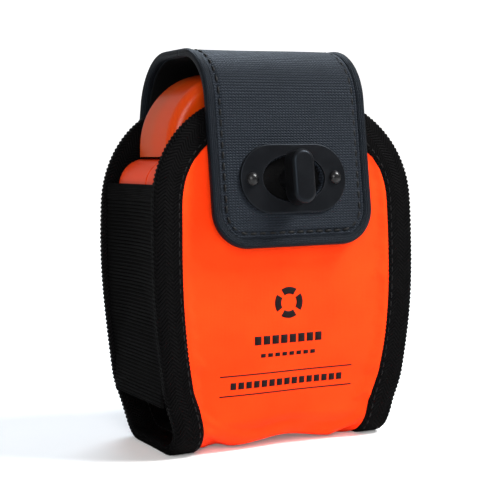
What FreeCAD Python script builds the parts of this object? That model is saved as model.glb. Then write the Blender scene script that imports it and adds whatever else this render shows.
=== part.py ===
"""Emergency position beacon in its closed carry pouch.

Millimetres. +Z is up, the flap and its turn-lock face -Y, and the origin is on the surface the pouch
stands on, in the middle of its whole width and depth.
"""
import FreeCAD, Part
import math
import os

import Sketcher

V = FreeCAD.Vector
X_AXIS, Y_AXIS, Z_AXIS = V(1, 0, 0), V(0, 1, 0), V(0, 0, 1)
FAR = 200.0  # longer than anything in the model, for cutting prisms
SPIRAL_STEPS = 16  # points per turn of the coiled tape

# alias, value, meaning
SIZES = (
    ("pouch_half", 41.5, "half width of the pouch at its widest"),
    ("pouch_mid_half", 40.2, "half width a third of the way up"),
    ("pouch_mid_level", 30, "height of that point"),
    ("pouch_foot_half", 36.4, "half width just above the base"),
    ("pouch_corner", 5, "radius of the lower corners seen from the front"),
    ("arch_level", 70, "height where the sides turn into the arch"),
    ("arch_radius", 32, "radius of the arch's shoulders"),
    ("cloth", 2, "thickness of a padded panel"),
    ("tape", 0.6, "thickness of the binding tape"),
    ("tape_edge", 0.8, "tape folded over the panel's edge"),
    ("tape_width", 8.5, "tape width on a panel's face"),
    ("belly_front", 20, "front face ahead of the origin, at the belly"),
    ("belly_level", 50, "height of the belly"),
    ("mouth_front", 16.8, "front face ahead of the origin, at the mouth"),
    ("back_face", 22, "outer face of the back panel"),
    ("base_radius", 9.4, "radius of the fold from wall to base"),
    ("gusset_inset", 1.2, "gusset inside the tape's edge"),
    ("gusset_cloth", 1.2, "thickness of the ribbed gusset"),
    ("gusset_low", 15, "lower end of the gusset"),
    ("gusset_top", 77, "upper hem of the gusset"),
    ("flap_cloth", 1.9, "thickness of the flap"),
    ("flap_back", 23.2, "inner face of the flap behind the pouch"),
    ("flap_root", 86, "height of the flap's root crease"),
    ("flap_top", 113, "inner face of the flap at its crest"),
    ("flap_back_radius", 13, "inner radius of the rear turn"),
    ("flap_front_radius", 14.5, "inner radius of the front turn"),
    ("flap_front_centre", 3.5, "centre of the front turn ahead of the origin"),
    ("flap_lean", 7, "degrees the flap's tongue leans back"),
    ("flap_crease", 100, "degrees round the front turn where crown meets tongue"),
    ("flap_gap", 0.3, "gap between crown and tongue"),
    ("flap_tip", 58.5, "height of the flap's lower edge"),
    ("flap_half", 25.4, "half width of the flap"),
    ("flap_root_half", 28.5, "half width of the flap at its root"),
    ("flap_corner", 12, "radius of the flap's lower corners"),
    ("trim_width", 3.4, "width of the flap's rolled trim"),
    ("trim_edge", 0.6, "trim beyond the flap's own edge"),
    ("trim_rise", 0.5, "trim above the flap's face"),
    ("anchor_low", 79.6, "lower edge of the flap's root patch"),
    ("anchor_half", 26.2, "half width of the flap's root patch"),
    ("loop_half", 19, "half width of the belt loop"),
    ("loop_low", 11, "lower end of the belt loop"),
    ("loop_high", 79, "upper end of the belt loop"),
    ("loop_patch", 5, "length sewn down at each end of the belt loop"),
    ("loop_web", 1.8, "thickness of the belt loop webbing"),
    ("loop_reach", 30.87, "rear of the belt loop, as far behind the origin as the knob stands ahead"),
    ("loop_bend", 0.8, "webbing inner bend beyond the outer one"),
    ("lock_level", 78, "height of the turn-lock"),
    ("plate_half", 16.8, "half length of the lock plate"),
    ("plate_radius", 9.75, "end radius of the lock plate"),
    ("plate_thick", 1, "thickness of the lock plate"),
    ("plate_edge", 0.35, "rounding of its rim"),
    ("eye_half", 10, "half length of the plate's eye"),
    ("eye_high", 6.9, "half height of the plate's eye"),
    ("rivet_pitch", 13.2, "rivet distance from the lock's centre"),
    ("rivet_shank", 1, "radius of a rivet's shank"),
    ("rivet_dome", 1.9, "radius of a rivet's dome"),
    ("rivet_rise", 1.425, "height of a rivet's dome"),
    ("rivet_foot", 1.7, "radius of a rivet's foot"),
    ("rivet_foot_thick", 0.25, "thickness of a rivet's foot"),
    ("rear_plate_half", 15.5, "half length of the plate behind the flap"),
    ("rear_plate_radius", 8.5, "end radius of that plate"),
    ("rear_plate_thick", 0.5, "thickness of that plate"),
    ("rear_slot_near", 5.2, "inner end of a slot in that plate"),
    ("rear_slot_far", 8.6, "outer end of that slot"),
    ("rear_slot_half", 0.45, "half height of that slot"),
    ("knob_half", 7.7, "half length of the knob's blade"),
    ("knob_radius", 3.5, "end radius of the knob's blade"),
    ("knob_low", 2.2, "underside of the blade above the flap"),
    ("knob_high", 7.6, "top of the blade above the flap"),
    ("knob_round", 1.3, "rounding of the blade's top edge"),
    ("knob_neck", 3.4, "radius of the knob's neck"),
    ("neck_gap", 0.1, "gap between the knob's neck and the rear plate"),
    ("knob_shaft", 2.5, "radius of the knob's shaft"),
    ("shaft_proud", 0.3, "shaft beyond the rear plate, on both its faces"),
    ("clip_wide", 0.9, "width of the clip's ring"),
    ("clip_thick", 0.24, "thickness of the clip"),
    ("run_fit", 0.06, "radial clearance of a turning or sliding fit"),
    ("keeper_half", 12, "half length of the keeper plate"),
    ("keeper_radius", 6, "end radius of the keeper plate"),
    ("keeper_thick", 0.4, "thickness of the keeper plate"),
    ("keeper_slot", 5.5, "half length of the keeper's slot"),
    ("keeper_slot_radius", 2.9, "end radius of the keeper's slot"),
    ("keeper_pitch", 9, "keeper rivet distance from its centre"),
    ("keeper_foot", 2, "radius of a keeper rivet's foot"),
    ("keeper_foot_thick", 0.5, "thickness of that foot"),
    ("case_front", 13.9, "front face of the beacon ahead of the origin"),
    ("case_back", 19, "rear face of the beacon"),
    ("case_split", 5, "middle of the case seal ahead of the origin"),
    ("case_seal", 0.8, "thickness of the case seal"),
    ("case_wall", 2, "wall of the case"),
    ("case_low", 11, "underside of the beacon"),
    ("case_top", 84, "top of the case, under the lid"),
    ("case_half", 37.75, "half width of the beacon"),
    ("case_foot_half", 35, "half width above the lower corners"),
    ("case_flat", 21, "half width of the flat underside"),
    ("case_waist", 55, "height where the case reaches its full width"),
    ("case_shoulder", 8, "radius of the case's shoulders"),
    ("case_round", 4, "rounding of the case's outer edges"),
    ("over", 1, "how far a cut starts or ends outside the solid"),
    ("seal_inset", 0.4, "case seal inside the case's edge"),
    ("seal_inner", 1.8, "inner edge of the case seal"),
    ("lid_half", 32.5, "half width of the lid"),
    ("lid_low", 84.6, "lower edge of the lid"),
    ("lid_top", 109, "top of the lid"),
    ("lid_radius", 22, "radius of the lid's upper corners"),
    ("lid_front", 10.8, "front of the lid ahead of the origin"),
    ("lid_back", 14.5, "rear of the lid"),
    ("lid_wall", 1.8, "wall of the lid"),
    ("lid_round", 3.5, "rounding of the lid's edges"),
    ("hinge_depth", 16.8, "lid hinge behind the origin"),
    ("hinge_level", 86.3, "height of the lid hinge"),
    ("hinge_radius", 1.9, "radius of the hinge knuckles"),
    ("hinge_pin", 1, "radius of the hinge pin"),
    ("knuckle_half", 8, "half length of the lid's knuckle"),
    ("ear_long", 4, "length of each case ear"),
    ("ear_gap", 0.2, "end clearance of the knuckle"),
    ("ear_root", 2, "root of an ear below the top of the case"),
    ("tab_half", 6, "half width of the lid's thumb tab"),
    ("tab_deep", 1.4, "thumb tab ahead of the lid"),
    ("tab_high", 2.2, "thickness of the thumb tab"),
    ("deck_depth", 5, "line of the buttons and lamp behind the origin"),
    ("on_side", -22, "on button across"),
    ("test_side", -9, "test button across"),
    ("button_cap", 3.8, "radius of a button's cap"),
    ("button_stem", 2, "radius of a button's stem"),
    ("button_rest", 84.9, "underside of a button's cap at rest"),
    ("button_high", 2, "thickness of a button's cap"),
    ("button_round", 0.6, "rounding of a button's cap"),
    ("ring_wide", 2, "width of a button's seal ring"),
    ("ring_high", 0.9, "height of a button's seal ring"),
    ("stem_low", 81.8, "lower end of a button's stem"),
    ("switch_drop", 5.8, "underside of the switch board below the stems"),
    ("switch_board_thick", 1.2, "thickness of that board"),
    ("switch_margin", 6, "board beyond a button's line"),
    ("switch_board_back", 4, "board behind the buttons' line"),
    ("switch_half", 3, "half width of a switch"),
    ("switch_high", 3.2, "height of a switch"),
    ("plunger_radius", 1.6, "radius of a switch's plunger"),
    ("plunger_high", 0.5, "plunger above its switch"),
    ("lamp_side", 25.6, "strobe lamp across"),
    ("lamp_radius", 4.2, "outer radius of the strobe lens"),
    ("lamp_wall", 0.8, "wall of the strobe lens"),
    ("lamp_skirt", 1, "straight skirt under the dome"),
    ("led_foot", 2.4, "radius of the lamp's foot"),
    ("led_step", 0.8, "height of the lamp's foot"),
    ("led_dome", 1.4, "radius of the lamp itself"),
    ("coil_side", 12, "antenna drum across"),
    ("coil_level", 96, "height of the antenna drum"),
    ("drum_radius", 4.2, "radius of the antenna drum"),
    ("coil_pitch", 1.2, "growth of the coiled tape per turn"),
    ("coil_turns", 3.2, "turns of coiled tape"),
    ("coil_tape", 0.3, "thickness of the antenna tape"),
    ("coil_width", 9, "width of the antenna tape"),
    ("bracket_depth", 6.4, "rear of the drum's bracket behind the drum's middle"),
    ("bracket_gap", 0.3, "gap between the coil and its bracket"),
    ("bracket_half", 5, "half width of the bracket"),
    ("bracket_rise", 3, "bracket above the drum's middle"),
    ("bracket_foot_half", 6.5, "half width of the bracket's foot"),
    ("bracket_foot_ahead", 3, "foot ahead of the drum's middle"),
    ("bracket_foot_high", 1.6, "height of the foot"),
    ("drum_proud", 0.5, "drum ahead of the coil"),
    ("coil_gap", 0.15, "gap between drum and coil"),
    ("cell_radius", 8.4, "radius of a battery cell"),
    ("cell_long", 34.3, "length of a battery cell"),
    ("cell_side", 10.6, "cell axis to each side"),
    ("cell_depth", 7.2, "cell axis behind the origin"),
    ("cell_low", 18.2, "lower end of the cells"),
    ("spring_thick", 0.35, "thickness of a leaf spring"),
    ("spring_half", 2, "half width of a leaf spring"),
    ("spring_foot", 5, "leaf spring's foot to each side"),
    ("spring_crest", 2.5, "half length of its crest"),
    ("spring_gap", 0.3, "gap under and over a leaf spring"),
    ("spring_narrow", 0.21, "how far its upper face steps in at a bend"),
    ("spring_toe", 1, "flat toe beyond the foot"),
    ("nub_radius", 3.2, "radius of a cell's terminal"),
    ("nub_high", 0.8, "height of that terminal"),
    ("contact_half", 19, "half length of the contact plate"),
    ("contact_wide", 7, "half width of the contact plate"),
    ("contact_thick", 0.5, "thickness of the contact plate"),
    ("door_half", 20, "half length of the battery door"),
    ("door_radius", 9.3, "end radius of the battery door"),
    ("door_thick", 4, "thickness of the battery door"),
    ("door_fit", 0.1, "clearance round the battery door"),
    ("door_groove", 0.8, "depth of the door's seal groove"),
    ("groove_top", 2.6, "top of the seal groove above the door's face"),
    ("groove_high", 1.2, "height of the groove"),
    ("gasket_low", 1.45, "underside of the gasket above the door's face"),
    ("gasket_high", 1.1, "height of the gasket"),
    ("door_bore", 1.6, "depth of the door's counterbore"),
    ("screw_head", 4.2, "radius of the coin screw's head"),
    ("screw_shaft", 1.5, "radius of the coin screw's shaft"),
    ("rib_half", 2, "half width of the rib that takes the coin screw"),
    ("rib_ahead", 4, "rib ahead of the cells' line"),
    ("rib_high", 6, "height of that rib"),
    ("coin_head_thick", 1.5, "thickness of the coin screw's head"),
    ("coin_long", 12.6, "length of the coin screw"),
    ("coin_slot_half", 0.7, "half width of the coin slot"),
    ("coin_slot_deep", 0.9, "depth of the coin slot"),
    ("post_radius", 3, "radius of the case's screw posts"),
    ("post_side_high", 30, "upper posts to each side"),
    ("post_level_high", 72, "height of the upper posts"),
    ("post_side_low", 24, "lower posts to each side"),
    ("post_level_low", 21, "height of the lower posts"),
    ("case_screw", 1.1, "radius of a case screw's shank"),
    ("case_screw_head", 2.2, "radius of a case screw's head"),
    ("screw_clear", 0.2, "clearance round a case screw's shank"),
    ("head_clear", 0.1, "clearance round a screw's head"),
    ("head_deep", 1.6, "depth of a case screw's counterbore"),
    ("head_sunk", 0.2, "head below the case's face"),
    ("socket_end", 1, "bottom of the head's socket below the case's face"),
    ("thread_deep", 12, "depth of a post's threaded hole"),
    ("screw_reach", 3, "end of a case screw behind the origin"),
    ("board_half", 25.5, "half width of the circuit board"),
    ("board_low", 25, "lower edge of the circuit board"),
    ("board_high", 79, "upper edge of the circuit board"),
    ("board_thick", 1.6, "thickness of the circuit board"),
    ("board_face", 4.2, "front face of the circuit board ahead of the origin"),
    ("patch_half", 9, "half side of the satellite antenna patch"),
    ("patch_level", 66, "height of its middle"),
    ("patch_thick", 4, "thickness of the patch"),
    ("feed_side", 2, "feed pin to the right of its middle"),
    ("feed_radius", 0.8, "radius of the feed pin"),
    ("feed_proud", 0.4, "feed pin beyond the patch"),
    ("shield_half", 12, "half width of the radio shield"),
    ("shield_low", 30, "lower edge of the shield"),
    ("shield_high", 46, "upper edge of the shield"),
    ("shield_thick", 2.5, "depth of the shield"),
    ("shield_wall", 0.3, "thickness of its sheet"),
)

doc = FreeCAD.newDocument("PositionBeacon")
sheet = doc.addObject("Spreadsheet::Sheet", "Dim")
for row, (alias, value, meaning) in enumerate(SIZES, start=1):
    sheet.set("A%d" % row, meaning)
    sheet.set("B%d" % row, str(value))
    sheet.setAlias("B%d" % row, alias)
doc.recompute()
DIM = {alias: float(sheet.get(alias)) for alias, value, meaning in SIZES}
sub_parts = []


# ---------------------------------------------------------------- shared helpers

def value(expression):
    """The number an expression of sheet cells stands for."""
    return float(sheet.evalExpression(str(expression)))


def bind(thing, **bindings):
    """Binds properties to expressions; a double underscore in a name stands for a dot."""
    for name, expression in bindings.items():
        thing.setExpression(name.replace("__", "."), str(expression))


def place(thing, x=0, y=0, z=0, tilt=None):
    """Puts a sub-part at x, y, z, turned by tilt degrees about X."""
    if tilt is not None:
        thing.Placement = FreeCAD.Placement(V(), FreeCAD.Rotation(X_AXIS, 1))
        bind(thing, Placement__Rotation__Angle=tilt)
    bind(thing, Placement__Base__x=x, Placement__Base__y=y, Placement__Base__z=z)


def name_part(thing, label):
    thing.Label = label
    sub_parts.append(thing)
    return thing


def new_body(label):
    return name_part(plain_body(label), label)


def plain_body(name):
    """A body that is only a piece of a sub-part."""
    return doc.addObject("PartDesign::Body", "Body_" + name)


def new_sketch(body, plane, offset=0):
    """A sketch on one of the body's own planes, moved along that plane's normal."""
    planes = {feature.Role: feature for feature in body.Origin.OriginFeatures}
    sketch = body.newObject("Sketcher::SketchObject", body.Name + "_Sketch")
    sketch.AttachmentSupport = (planes[plane + "_Plane"], "")
    sketch.MapMode = "FlatFace"
    bind(sketch, AttachmentOffset__Base__z=offset)
    return sketch


def fix_point(sketch, geometry, end, x, y):
    """Ties a point of the sketch to the expressions x and y."""
    for kind, expression in (("DistanceX", x), ("DistanceY", y)):
        constraint = Sketcher.Constraint(kind, -1, 1, geometry, end, value(expression))
        index = sketch.addConstraint(constraint)
        sketch.setExpression("Constraints[%d]" % index, str(expression))


def fix_size(sketch, kind, geometry, expression):
    index = sketch.addConstraint(Sketcher.Constraint(kind, geometry, value(expression)))
    sketch.setExpression("Constraints[%d]" % index, str(expression))


def arc_between(start, end, radius):
    """The arc that turns left from start to end."""
    chord = end - start
    height = math.sqrt(max(radius * radius - chord.Length ** 2 / 4, 0.0))
    left = V(-chord.y, chord.x, 0).normalize()
    centre = start + chord * 0.5 + left * height
    first = math.atan2(start.y - centre.y, start.x - centre.x)
    last = math.atan2(end.y - centre.y, end.x - centre.x)
    return Part.ArcOfCircle(Part.Circle(centre, Z_AXIS, radius), first, last)


def draw_outline(sketch, corners, rounds=None):
    """Draws a closed outline, counter-clockwise. rounds gives the radius of each edge that is an arc."""
    rounds = rounds or {}
    points = [V(value(x), value(y), 0) for x, y in corners]
    first = sketch.GeometryCount
    count = len(points)
    for i, start in enumerate(points):
        end = points[(i + 1) % count]
        edge = arc_between(start, end, value(rounds[i])) if i in rounds else Part.LineSegment(start, end)
        sketch.addGeometry(edge, False)
    for i in range(count):
        following = first + (i + 1) % count
        sketch.addConstraint(Sketcher.Constraint("Coincident", first + i, 2, following, 1))
    for i, (x, y) in enumerate(corners):
        fix_point(sketch, first + i, 1, x, y)
    for i, radius in rounds.items():
        fix_size(sketch, "Radius", first + i, radius)


def draw_circle(sketch, x, y, radius):
    circle = Part.Circle(V(value(x), value(y), 0), Z_AXIS, value(radius))
    geometry = sketch.addGeometry(circle, False)
    fix_point(sketch, geometry, 3, x, y)
    fix_size(sketch, "Radius", geometry, radius)


def draw_rectangle(sketch, x0, y0, x1, y1):
    draw_outline(sketch, [(x0, y0), (x1, y0), (x1, y1), (x0, y1)])


def draw_stadium(sketch, half, radius, y="0"):
    """A slot shape along x, half its length from the origin to each end. Each end is two quarter arcs."""
    flat = "(%s - (%s))" % (half, radius)
    low, high = "(%s - (%s))" % (y, radius), "(%s + %s)" % (y, radius)
    right, left = [(flat, low), (half, y), (flat, high)], [("-" + flat, high), ("-(%s)" % half, y)]
    corners = [("-" + flat, low)] + right + left
    draw_outline(sketch, corners, {1: radius, 2: radius, 4: radius, 5: radius})


def pad(body, sketch, length, symmetric=False, reverse=False):
    feature = body.newObject("PartDesign::Pad", body.Name + "_Pad")
    feature.Profile = sketch
    feature.Reversed = reverse
    if symmetric:
        feature.SideType = "Symmetric"
    bind(feature, Length=length)
    doc.recompute()
    return feature


def pocket(body, sketch, length, symmetric=False, reverse=False):
    """Cuts along the sketch's normal, backwards unless reversed, and makes sure that it cut something."""
    before = body.Tip.Shape.Volume
    feature = body.newObject("PartDesign::Pocket", body.Name + "_Pocket")
    feature.Profile = sketch
    feature.Reversed = reverse
    if symmetric:
        feature.SideType = "Symmetric"
    bind(feature, Length=length)
    doc.recompute()
    if feature.Shape.Volume > before - 1e-4:
        raise RuntimeError("a pocket of %s cuts nothing" % body.Label)
    return feature


def revolve(body, sketch, axis="V_Axis"):
    feature = body.newObject("PartDesign::Revolution", body.Name + "_Revolution")
    feature.Profile = sketch
    feature.ReferenceAxis = (sketch, [axis])
    feature.Angle = 360
    doc.recompute()
    return feature


def round_edges(body, chosen, radius):
    """Fillets the edges of the body for which chosen(edge) is true."""
    base = body.Tip
    names = ["Edge%d" % (i + 1) for i, edge in enumerate(base.Shape.Edges) if chosen(edge)]
    feature = body.newObject("PartDesign::Fillet", body.Name + "_Fillet")
    feature.Base = (base, names)
    bind(feature, Radius=radius)
    doc.recompute()
    return feature


def lies_at(axis, expression, tolerance=1e-4):
    """A test for edges that lie wholly in the plane where the coordinate axis has this value."""
    level = value(expression)

    def test(edge):
        box = edge.BoundBox
        low, high = getattr(box, axis + "Min"), getattr(box, axis + "Max")
        return abs(low - level) < tolerance and abs(high - level) < tolerance

    return test


def primitive(kind, x=0, y=0, z=0, **sizes):
    thing = doc.addObject("Part::" + kind, kind)
    bind(thing, Placement__Base__x=x, Placement__Base__y=y, Placement__Base__z=z, **sizes)
    return thing


def block(x0, x1, y0, y1, z0, z1):
    size = "(%s) - (%s)"
    sizes = {"Length": size % (x1, x0), "Width": size % (y1, y0), "Height": size % (z1, z0)}
    return primitive("Box", x0, y0, z0, **sizes)


def rod(radius, z0, z1, x=0, y=0):
    return primitive("Cylinder", x, y, z0, Radius=radius, Height="(%s) - (%s)" % (z1, z0))


def rod_along_y(radius, x, z, y0, y1):
    thing = doc.addObject("Part::Cylinder", "Rod")
    thing.Placement = FreeCAD.Placement(V(), FreeCAD.Rotation(X_AXIS, -90))
    bind(thing, Radius=radius, Height="(%s) - (%s)" % (y1, y0))
    bind(thing, Placement__Base__x=x, Placement__Base__y=y0, Placement__Base__z=z)
    return thing


def join(*things):
    thing = doc.addObject("Part::MultiFuse", "Join")
    thing.Shapes = list(things)
    return thing


def cut(base, tool):
    thing = doc.addObject("Part::Cut", "Cut")
    thing.Base, thing.Tool = base, tool
    return thing


def group(label, *things):
    """Identical pieces that share a node."""
    thing = doc.addObject("Part::Compound", "Group_" + label)
    thing.Links = list(things)
    return name_part(thing, label)


def cloth_piece(label, shape):
    """A sewn piece, whose curved section and outline are worked out from the sheet."""
    thing = doc.addObject("Part::Feature", "Cloth_" + label)
    thing.Shape = shape
    thing.Placement = FreeCAD.Placement()
    return name_part(thing, label)


# ---------------------------------------------------------------- the pouch's curves

def yz(y, z):
    return V(0, y, z)


def xz(x, z):
    return V(x, 0, z)


def arc_yz(centre, radius, first, last):
    """An arc in the YZ plane; angles in degrees from +Y towards +Z."""
    angles = [math.radians(first + (last - first) * share) for share in (0, 0.5, 1)]
    points = [centre + V(0, radius * math.cos(a), radius * math.sin(a)) for a in angles]
    return Part.Arc(*points).toShape()


def line(start, end):
    return Part.makeLine(start, end)


def band_face(outer, inner):
    """The face between two chains of edges that run the same way."""
    start = line(outer[0].firstVertex().Point, inner[0].firstVertex().Point)
    end = line(outer[-1].lastVertex().Point, inner[-1].lastVertex().Point)
    return Part.Face(Part.Wire(Part.__sortEdges__(list(outer) + [end] + list(inner) + [start])))


def across(face):
    """A YZ face as a bar across the whole width."""
    return face.translated(V(-FAR / 2, 0, 0)).extrude(V(FAR, 0, 0))


def through(face):
    """An XZ face as a bar from front to back."""
    return face.translated(V(0, -FAR / 2, 0)).extrude(V(0, FAR, 0))


def half_space(low, high):
    """A box between two corners."""
    return Part.makeBox(high.x - low.x, high.y - low.y, high.z - low.z, low)


def front_circle():
    """Centre and radius of the arc that the front panel bows along."""
    rise = DIM["arch_level"] + DIM["arch_radius"] - DIM["belly_level"]
    bow = DIM["belly_front"] - DIM["mouth_front"]
    radius = (rise * rise + bow * bow) / (2 * bow)
    return yz(radius - DIM["belly_front"], DIM["belly_level"]), radius


def front_edges(depth):
    """Front wall and base in section, depth inside the outer face, from mouth to rear seam."""
    centre, radius = front_circle()
    fold = DIM["base_radius"]
    level = DIM["tape"] + fold
    drop = level - centre.z
    fold_y = centre.y - math.sqrt((radius - fold) ** 2 - drop * drop)
    mouth = DIM["arch_level"] + DIM["arch_radius"] - centre.z
    top_angle = 180 - math.degrees(math.asin(mouth / radius))
    low_angle = 180 + math.degrees(math.asin(-drop / (radius - fold)))
    front_fold, back_fold = yz(fold_y, level), yz(DIM["back_face"] - fold, level)
    return [
        arc_yz(centre, radius - depth, top_angle, low_angle),
        arc_yz(front_fold, fold - depth, low_angle, 270),
        line(yz(front_fold.y, DIM["tape"] + depth), yz(back_fold.y, DIM["tape"] + depth)),
        arc_yz(back_fold, fold - depth, 270, 360),
    ]


def back_edges(depth):
    """The back wall in section, from the rear seam to the mouth."""
    y = DIM["back_face"] - depth
    return [line(yz(y, DIM["tape"] + DIM["base_radius"]), yz(y, DIM["arch_level"] + DIM["arch_radius"]))]


def pouch_outline(inset, open_base=False):
    """The pouch seen from the front, inset from its edge; open_base runs it down past the base."""
    radius = DIM["arch_radius"] - inset
    shoulder = DIM["pouch_half"] - DIM["arch_radius"]
    level, corner = DIM["arch_level"], DIM["pouch_corner"]
    foot = DIM["pouch_foot_half"] - inset
    slant = radius * math.sqrt(0.5)

    def side(s):
        """One side from foot to crown; s is 1 on the right and -1 on the left."""
        edges = []
        if open_base:
            edges.append(line(xz(s * foot, -corner), xz(s * foot, corner)))
        else:
            bend = corner * (1 - math.sqrt(0.5))
            arc = Part.Arc(xz(s * (foot - corner), 0), xz(s * (foot - bend), bend), xz(s * foot, corner))
            edges.append(arc.toShape())
        middle = xz(s * (DIM["pouch_mid_half"] - inset), DIM["pouch_mid_level"])
        waist = xz(s * (shoulder + radius), level)
        edges.append(Part.Arc(xz(s * foot, corner), middle, waist).toShape())
        bend = xz(s * (shoulder + slant), level + slant)
        edges.append(Part.Arc(waist, bend, xz(s * shoulder, level + radius)).toShape())
        return edges

    right, left = side(1), side(-1)
    crown = line(right[-1].lastVertex().Point, left[-1].lastVertex().Point)
    base = line(right[0].firstVertex().Point, left[0].firstVertex().Point)
    return Part.Face(Part.Wire(Part.__sortEdges__(right + [crown] + left + [base])))


def flap_edges(depth, stretch):
    """The crown or the tongue of the flap in section, depth outside its inner face."""
    rear, front = DIM["flap_back_radius"], DIM["flap_front_radius"]
    rear_centre = yz(DIM["flap_back"] - rear, DIM["flap_top"] - rear)
    front_centre = yz(-DIM["flap_front_centre"], DIM["flap_top"] - front)
    slack = math.degrees(DIM["flap_gap"] / 2 / (front + DIM["flap_cloth"]))
    top = DIM["flap_top"] + depth
    if stretch == "crown":
        y = DIM["flap_back"] + depth
        return [
            line(yz(y, DIM["flap_root"] + DIM["flap_gap"]), yz(y, rear_centre.z)),
            arc_yz(rear_centre, rear + depth, 0, 90),
            line(yz(rear_centre.y, top), yz(front_centre.y, top)),
            arc_yz(front_centre, front + depth, 90, DIM["flap_crease"] - slack),
        ]
    last = 180 - DIM["flap_lean"]
    turn = arc_yz(front_centre, front + depth, DIM["flap_crease"] + slack, last)
    start = turn.lastVertex().Point
    drop = start.z - DIM["flap_tip"]
    return [turn, line(start, yz(start.y - drop * math.tan(math.radians(DIM["flap_lean"])), DIM["flap_tip"]))]


def tongue_outline(inset):
    """The tongue seen from the front."""
    half, low = DIM["flap_half"] - inset, DIM["flap_tip"] + inset
    radius = DIM["flap_corner"] - inset
    bend = radius * (1 - math.sqrt(0.5))
    flat = half - radius
    top = DIM["flap_top"] + DIM["flap_front_radius"]
    edges = [line(xz(-flat, low), xz(flat, low)), line(xz(half, top), xz(-half, top))]
    for s in (1, -1):
        corner = Part.Arc(xz(s * flat, low), xz(s * (half - bend), low + bend), xz(s * half, low + radius))
        edges += [corner.toShape(), line(xz(s * half, low + radius), xz(s * half, top))]
    return Part.Face(Part.Wire(Part.__sortEdges__(edges)))


def crown_plan(inset):
    """The crown seen from above as a prism: it widens towards its root."""
    root, half = DIM["flap_root_half"] - inset, DIM["flap_half"] - inset
    back = DIM["flap_back"] + DIM["flap_cloth"] + DIM["trim_rise"]
    front = -DIM["flap_front_centre"] - DIM["flap_front_radius"]
    bottom = DIM["flap_root"] - 1
    corners = [V(-root, back, bottom), V(root, back, bottom), V(half, 0, bottom), V(half, front, bottom)]
    corners += [V(-half, front, bottom), V(-half, 0, bottom)]
    return Part.Face(Part.makePolygon(corners + corners[:1])).extrude(V(0, 0, FAR))


def lock_frame():
    """Placement of the lock: its origin is on the flap's outer face and its -Y points straight out."""
    lean = math.radians(DIM["flap_lean"])
    y = -DIM["flap_front_centre"] - DIM["flap_front_radius"] * math.cos(lean)
    z = DIM["flap_top"] - DIM["flap_front_radius"] * (1 - math.sin(lean))
    y -= (z - DIM["lock_level"]) * math.tan(lean) + DIM["flap_cloth"] / math.cos(lean)
    return FreeCAD.Placement(yz(y, DIM["lock_level"]), FreeCAD.Rotation(X_AXIS, -DIM["flap_lean"]))


def keeper_frame():
    """Placement of the keeper: its origin is on the front panel's outer face."""
    centre, radius = front_circle()
    rise = DIM["lock_level"] - centre.z
    tilt = math.asin(rise / radius)
    y = centre.y - radius * math.cos(tilt)
    return FreeCAD.Placement(yz(y, DIM["lock_level"]), FreeCAD.Rotation(X_AXIS, -math.degrees(tilt)))


def peg(x, radius):
    """A cylinder through everything along Y, for cutting a round hole."""
    return Part.makeCylinder(radius, FAR, V(x, -FAR / 2, 0), Y_AXIS)


# ---------------------------------------------------------------- pouch

def make_panels():
    """Front panel, which runs on under the base, and back panel."""
    outline = through(pouch_outline(DIM["tape_edge"]))
    front = across(band_face(front_edges(0), front_edges(DIM["cloth"]))).common(outline)
    back = across(band_face(back_edges(0), back_edges(DIM["cloth"]))).common(outline)
    for s in (1, -1):
        hole = peg(s * DIM["keeper_pitch"], DIM["rivet_shank"])
        hole.Placement = keeper_frame().multiply(hole.Placement)
        reach = half_space(V(-FAR, -FAR, 0), V(FAR, 0, FAR))
        front = front.cut(hole.common(reach))
    cloth_piece("front_panel", front)
    cloth_piece("back_panel", back)
    return front.fuse(back)


def make_bindings(panels):
    """Twill tape folded over the edges of both panels; the left and right runs meet at the crown."""
    tape, depth = -DIM["tape"], DIM["cloth"] + DIM["tape"]
    outer = front_edges(tape) + back_edges(tape)
    inner = front_edges(depth) + back_edges(depth)
    wall = across(band_face(outer, inner))
    ring = through(pouch_outline(0)).cut(through(pouch_outline(DIM["tape_width"], open_base=True)))
    tape_solid = wall.common(ring).cut(panels)
    for label, low, high in (("left_binding", -FAR, 0), ("right_binding", 0, FAR)):
        cloth_piece(label, tape_solid.common(half_space(V(low, -FAR, -FAR), V(high, FAR, FAR))))


def make_gussets():
    """Ribbed elastic sides, sewn between the two bindings."""
    depth = DIM["cloth"] + DIM["tape"]
    inner = front_edges(depth) + back_edges(depth)
    mouth = line(inner[-1].lastVertex().Point, inner[0].firstVertex().Point)
    room = across(Part.Face(Part.Wire(Part.__sortEdges__(inner + [mouth]))))
    near = pouch_outline(DIM["gusset_inset"], open_base=True)
    far = pouch_outline(DIM["gusset_inset"] + DIM["gusset_cloth"], open_base=True)
    sheet_ring = through(near).cut(through(far)).common(room)
    low, top = DIM["gusset_low"], DIM["gusset_top"]
    for label, x0, x1 in (("left_gusset", -FAR, 0), ("right_gusset", 0, FAR)):
        cloth_piece(label, sheet_ring.common(half_space(V(x0, -FAR, low), V(x1, FAR, top))))


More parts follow.
